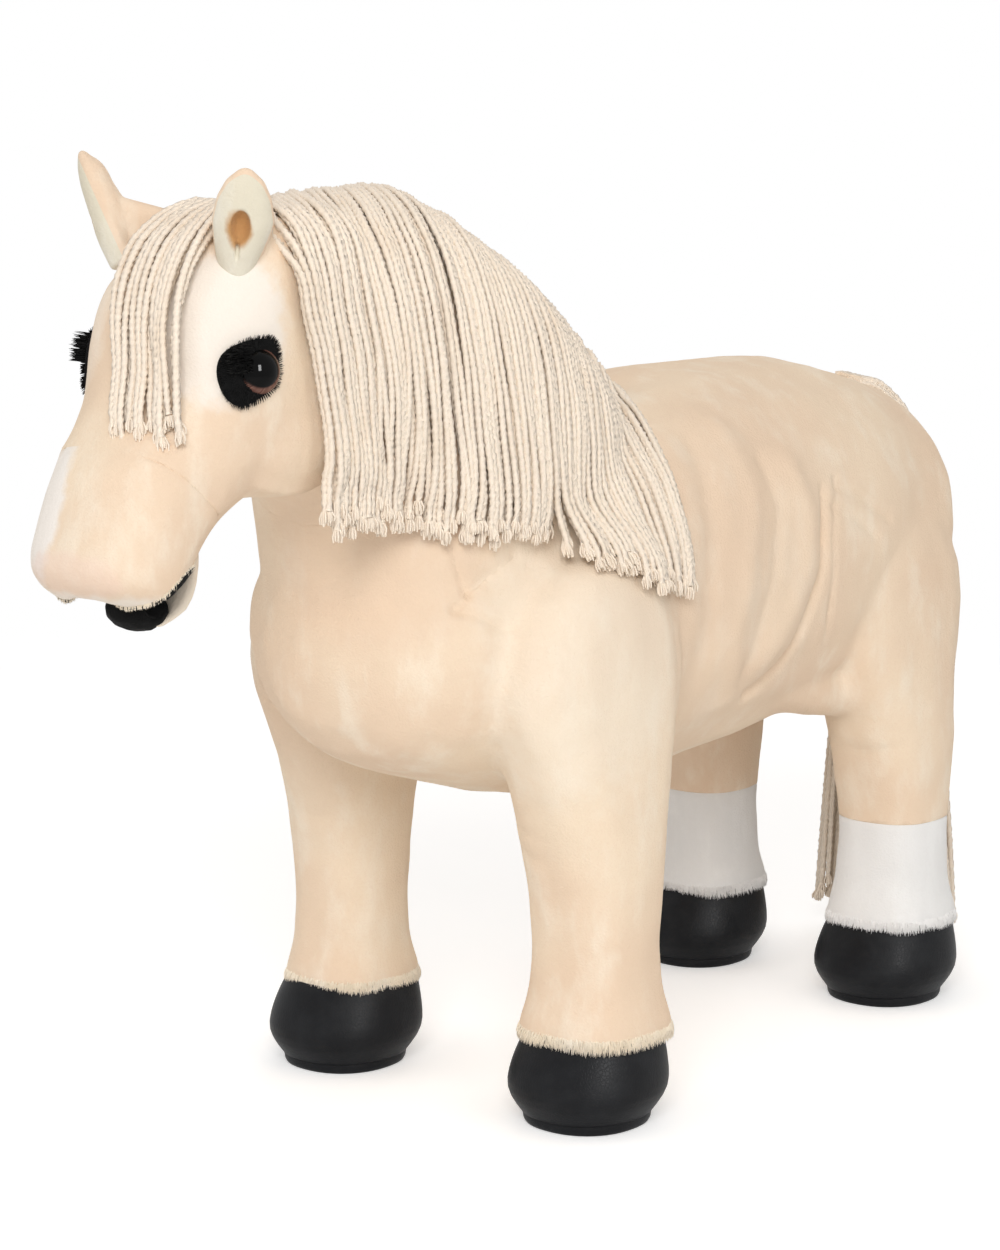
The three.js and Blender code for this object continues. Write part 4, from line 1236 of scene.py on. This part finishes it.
def make_ears():
    for side in SIDES:
        place = ear_frame(side)

        def placed(shape):
            bmesh.ops.transform(shape, matrix=place, verts=shape.verts)
            return shape

        def ear_ball(centre, reach):
            return placed(ball(mm(*centre), mm(*reach), 16))

        inward = -SIDES[side]
        web = gathered([
            ear_ball((inward * 4, 4, 27), (5, 4, 6)), ear_ball((0, 4, 6), (13, 8, 10)),
            ball(mm(-inward * 13, -243, 438), mm(7, 7, 8)),
        ])
        bmesh.ops.convex_hull(web, input=web.verts)
        whole = gathered([
            hull_copy(f"ear_{side}", f"ear_lining_{side}"), web, ear_ball((0, 1, 40), (10, 6.5, 11)),
        ])
        tall, tuck = EAR_SHAPES[side]
        bmesh.ops.transform(whole, matrix=place.inverted(), verts=whole.verts)
        for vert in whole.verts:
            share = clamped(vert.co.z / (28 * MM))
            if vert.co.y < 2 * MM:
                vert.co.x = vert.co.x * (0.45 + 0.55 * share) + inward * tuck * MM * (1 - share)
                vert.co.z -= 9 * MM * (1 - share)
            vert.co.z *= tall
        ear = remeshed("ear", placed(whole), 0.9 * MM, 10)
        cut(ear, ear_ball((inward * 1, -12.5, 30), (5.0, 9.6, 8.5)), "DIFFERENCE")
        cut(ear, ear_ball((inward * 2, -10, 18), (0.9, 6.8, 10)), "DIFFERENCE")
        ear = remeshed("ear", taken(ear), 0.7 * MM, 4)
        behind = placed(block((-0.04, EAR_SPLIT, -0.02), (0.04, 0.04, 0.08)))
        in_front = placed(block((-0.04, -0.04, -0.02), (0.04, EAR_SPLIT, 0.08)))
        back = part_of(ear, f"ear_back_{side}", ("INTERSECT", behind))
        lining = part_of(ear, f"ear_front_{side}", ("INTERSECT", in_front))
        discard(ear)
        sewn(back, f"ear_{side}", "body", "plush_cream", f"ear_{side}", EAR_FILL)
        # Painted shade: the lining's hollow is tinted orange-brown, as the shade deep in the recess
        hollow = tuple(place @ Vector((inward * 1.5 * MM, -5 * MM, 29 * MM)))
        shade = (hollow, (0.0060, 0.0060, 0.0105), rgb(0.50, 0.27, 0.11), 1.0)
        finish = f"lining_{side}"
        FINISHES[finish] = plush(f"plush_{finish}", *LINING_TINTS, markings_and_painted_shading=(shade,))
        sewn(lining, f"ear_{side}", finish, "plush_pale", f"ear_lining_{side}", EAR_FILL)


# Mane, forelock and tail

# The first and the last cord of the mane from root to end: Y in millimetres. The ends' angles
# are degrees round the neck's middle line, from the crest down the left side.
MANE_FIRST = (-212, -230, -240, -240, -236, -231, -227, -223, -221)
MANE_LAST = (34, 28, 19, 10, 3, -2, -5, -6, -6)
MANE_END_ANGLES = (139, 127, 113, 108, 104)
MANE_START_ANGLE = -3

# How far the cords' ends hang below the CAD's form from the first cord to the last, in
# millimetres, and how deep the last cords lie at the pressed crest
MANE_DROPS = (20, 15, 3, 0, 0)
CREST_SAG = 13 * MM

# The forelock's outer cords from root to end: X in millimetres
FORELOCK_FAR = (-5, -15, -17.5, -14, -9, -3, 3)
FORELOCK_NEAR = (14, 22, 26, 29, 31.5, 34.5, 38)

# The tail's outer side from root to end, in millimetres: Y, Z, X of its middle, half its
# width and its thickness
TAIL_ROWS = [
    (264, 349, 9, 9, 3), (277, 344, 14, 11, 4), (287, 337, 18, 12, 5), (295, 329, 21, 13, 6),
    (304, 316, 22, 15, 8), (311, 298, 21, 17, 9), (316, 278, 17, 19, 11), (322, 250, 11, 22, 13),
    (326, 212, 3, 27, 14), (328, 168, 0, 33, 14), (329.5, 120, -2, 38, 14), (331, 62, -2, 44, 14),
    (331.5, 12, -2, 48, 14),
]


# How many points a cord's line has, and the share of it that is tucked in at the root
FORELOCK_STEPS, MANE_STEPS, TAIL_STEPS = 30, 46, 60
ROOT_SHARE = 0.07


def spread_of(share, chance, drift, wave):
    """How far across the bundle a cord lies, as a function of its own length."""
    drift = chance.uniform(-drift, drift)
    wave *= chance.uniform(0.3, 1.0)
    start = chance.uniform(0, math.tau)
    return lambda part: share + drift * part * part + wave * part * math.sin(start + 5.5 * part)


def insets(count, row, chance):
    """How deep a cord lies in its bundle from root to end. Its root is tucked in."""
    depth = CORD_RADIUS + (0.2 + 2.4 * row + chance.uniform(-0.5, 0.9)) * MM
    start = chance.uniform(0, math.tau)
    return [
        depth + 3 * MM * max(0.0, 1 - i / count / ROOT_SHARE)
        + 0.5 * MM * math.sin(start + 7 * i / count)
        for i in range(count)
    ]


def cord_places(counts, jitter, chance):
    """Each cord's row, from the outside in, and its share of the way across that row."""
    for row, count in enumerate(counts):
        for index in range(count):
            yield row, (index + 0.5 + chance.uniform(-jitter, jitter)) / count


def make_cords(node, lines, seed, start, end):
    """A piece of twisted cords with their finish, riding on no body."""
    piece = cord_bundle(f"{node}_cords", lines, seed)
    finished(piece, None, "cord", "cotton_cord", node)
    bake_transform(piece)
    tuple(start)
    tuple(end)


def make_forelock():
    tree = tree_of(frame["nodes"]["forelock"])
    chance = random.Random(21)
    lines = []
    for row, share in cord_places((10, 7), 0.3, chance):
        spread = spread_of(share, chance, 0.07, 0.05)
        length = chance.uniform(0.94, 1.0)
        rays = []
        for step in range(FORELOCK_STEPS):
            part = step / (FORELOCK_STEPS - 1) * length
            angle = math.radians(6 + 108 * part)
            near = spread(part)
            x = (1 - near) * reading(FORELOCK_FAR, part) + near * reading(FORELOCK_NEAR, part)
            rays.append((
                Vector((x * MM, NOD.y, NOD.z)), Vector((0, -math.sin(angle), math.cos(angle)))
            ))
        aside = Vector((1 if share < 0.5 else -1, 0, 0))
        lines.append(laid_line(tree, rays, insets(FORELOCK_STEPS, row, chance), aside))
    start, end = (0, NOD.y - 8 * MM, 0.447), (0, NOD.y - 30 * MM, 0.425)
    make_cords("forelock", lines, 22, start, end)


def neck_middle(y):
    """The height of the neck's middle line."""
    return NOD.z - 0.129 * clamped((y + 0.223) / 0.269)


def make_mane():
    """Cords from the crest down the left side, laid in two layers inside the mane's form."""
    tree = tree_of(frame["nodes"]["mane"])
    chance = random.Random(31)
    lines = []
    for row, share in cord_places((78, 72), 0.35, chance):
        end = reading(MANE_END_ANGLES, share) * chance.uniform(0.955, 1.0)
        spread = spread_of(share, chance, 0.02, 0.008)
        rays = []
        for step in range(MANE_STEPS):
            part = step / (MANE_STEPS - 1)
            back = spread(part)
            y = ((1 - back) * reading(MANE_FIRST, part) + back * reading(MANE_LAST, part)) * MM
            angle = math.radians(MANE_START_ANGLE + (end - MANE_START_ANGLE) * part)
            rays.append((
                Vector((0, y, neck_middle(y))), Vector((math.sin(angle), 0, math.cos(angle)))
            ))
        aside = Vector((0, 1 if share < 0.5 else -1, 0))
        sag = CREST_SAG * clamped((share - 0.35) / 0.2)
        depths = [
            depth + sag * math.exp(-((step / MANE_STEPS / 0.28) ** 2))
            for step, depth in enumerate(insets(MANE_STEPS, row, chance))
        ]
        line = laid_line(tree, rays, depths, aside)
        drop = reading(MANE_DROPS, share) * chance.uniform(0.7, 1.0)
        line += [line[-1] - Vector((0, 0, 2 * MM)) * (i + 1) for i in range(int(drop / 2))]
        lines.append(line)
    make_cords("mane", lines, 32, (0.012, -0.1, 0.44), (0.040, -0.1, 0.41))


def hugging(point, tree, lift):
    """Lays a point of the tail on the skin where the skin still slopes back."""
    spot, normal, _, _ = tree.find_nearest(point)
    return point.lerp(spot + normal * lift, clamped((point.z - 0.285) / 0.03))


def make_tail(skin_tree):
    """Cords sewn on top of the rump, which lie along it and then hang."""
    chance = random.Random(41)
    columns = list(zip(*TAIL_ROWS))
    lines = []
    for row, share in cord_places((34, 28, 22), 0.35, chance):
        spread = spread_of(share, chance, 0.05, 0.03)
        length = chance.uniform(0.975, 1.0)
        lift = (2.2 + 1.7 * (2 - row)) * MM
        depth = row / 2 * 0.75 + 0.12 + chance.uniform(-0.05, 0.05)
        line = []
        for step in range(TAIL_STEPS):
            part = step / (TAIL_STEPS - 1) * length
            y, z, x, half, thick = (reading(column, part) for column in columns)
            across = spread(part) * 2 - 1
            point = mm(x + across * half, y - thick * depth - 3.0 * across * across, z)
            tuck = 4 * MM * max(0.0, 1 - part / ROOT_SHARE)
            line.append(hugging(point, skin_tree, lift - tuck))
        lines.append([Vector(v) for v in zip(*(smoothed(list(axis)) for axis in zip(*line)))])
    make_cords("tail", lines, 42, (0, 0.262, 0.344), (0, 0.290, 0.325))


# Room

FLOOR_GLOW = 0.34
WORLD_LEVEL = 0.50
WORLD_TINT = rgb(1.0, 0.965, 0.93)
CAMERA_LENS = 97.92
CAMERA_PLACE = (1.08885, -1.3335, 0.512)

# Each lamp's place, size and watts. The eye light is seen only in reflections, and the other
# lamps only by the light that they give.
LAMPS = (
    ("key", (1.25, -1.7, 1.35), (0.9, 0.9), 27),
    ("side", (2.1, -0.2, 0.75), (0.9, 0.9), 4),
    ("fill", (-1.6, -1.5, 0.9), (1.4, 1.4), 5),
    ("top", (0.2, 0.5, 2.4), (1.6, 1.6), 4),
    ("back", (-1.2, 1.9, 1.3), (1.4, 1.4), 7),
    ("eye_light", (1.9, -0.75, 1.05), (0.45, 0.9), 60),
)


def make_room():
    """A pale floor, soft lamps and the camera."""
    floor_shape = bmesh.new()
    bmesh.ops.create_grid(floor_shape, x_segments=1, y_segments=1, size=3)
    floor = new_object("floor", floor_shape, smooth=False)
    finish = Finish("floor_paper", roughness=1.0)
    place, x, y, _ = finish.place()
    speck = finish.noise(place, 40, 2)
    finish.feed({
        "Base Color": finish.mix(speck * 0.05, rgb(0.93, 0.93, 0.93), rgb(0.9, 0.9, 0.9)),
        "Emission Color": finish.mix(finish.seen_directly(), rgb(0, 0, 0), rgb(1, 1, 1)),
        "Emission Strength": FLOOR_GLOW,
        "Alpha": ((x * x + y * y) ** 0.5).between(1.5, 0.75),
    })
    floor.data.materials.append(finish.material)

    world = bpy.data.worlds.new("studio")
    bpy.context.scene.world = world
    sky = Tree(world, "BACKGROUND")
    seen = sky.seen_directly()
    level = sky.add("ShaderNodeMapRange", sockets={"Value": seen, "To Min": WORLD_LEVEL})
    sky.feed({"Color": sky.mix(seen, WORLD_TINT, rgb(1, 1, 1)), "Strength": level})

    for name, place, size, power in LAMPS:
        lamp = bpy.data.lights.new(name, "AREA")
        lamp.energy = power
        lamp.shape = "RECTANGLE"
        lamp.size, lamp.size_y = size
        made = in_scene(name, lamp)
        made.location = place
        made.visible_glossy = name == "eye_light"
        made.visible_diffuse = name != "eye_light"
        aim = Vector((0, 0, 0.25)) - Vector(place)
        made.rotation_euler = aim.to_track_quat("-Z", "Y").to_euler()

    camera = bpy.data.cameras.new("camera")
    camera.lens = CAMERA_LENS
    camera.sensor_width = 36
    view = in_scene("camera", camera)
    view.location = CAMERA_PLACE
    azimuth, pitch = math.radians(40), math.radians(9.3)
    ahead = Vector((
        -math.sin(azimuth) * math.cos(pitch), math.cos(azimuth) * math.cos(pitch), -math.sin(pitch),
    ))
    view.rotation_euler = ahead.to_track_quat("-Z", "Y").to_euler()
    bpy.context.scene.camera = view
    bpy.context.scene.view_settings.view_transform = "Standard"


def finish_hidden_parts():
    """Finishes for the CAD nodes that stay: rods, discs, washers and tapes."""
    kinds = {"disc": "plastic", "washer": "plastic", "rod": "steel", "tape": "tape"}
    for node, made in frame["nodes"].items():
        for word, finish in kinds.items():
            if word in node:
                made.data.materials.clear()
                made.data.materials.append(FINISHES[finish])


make_room()
skin = whole_skin()
make_body(skin)
make_head(skin)
make_mane_tape(skin)
make_hooves()
make_ears()
make_forelock()
make_mane()
make_tail(tree_of(skin))
discard(skin)
finish_hidden_parts()
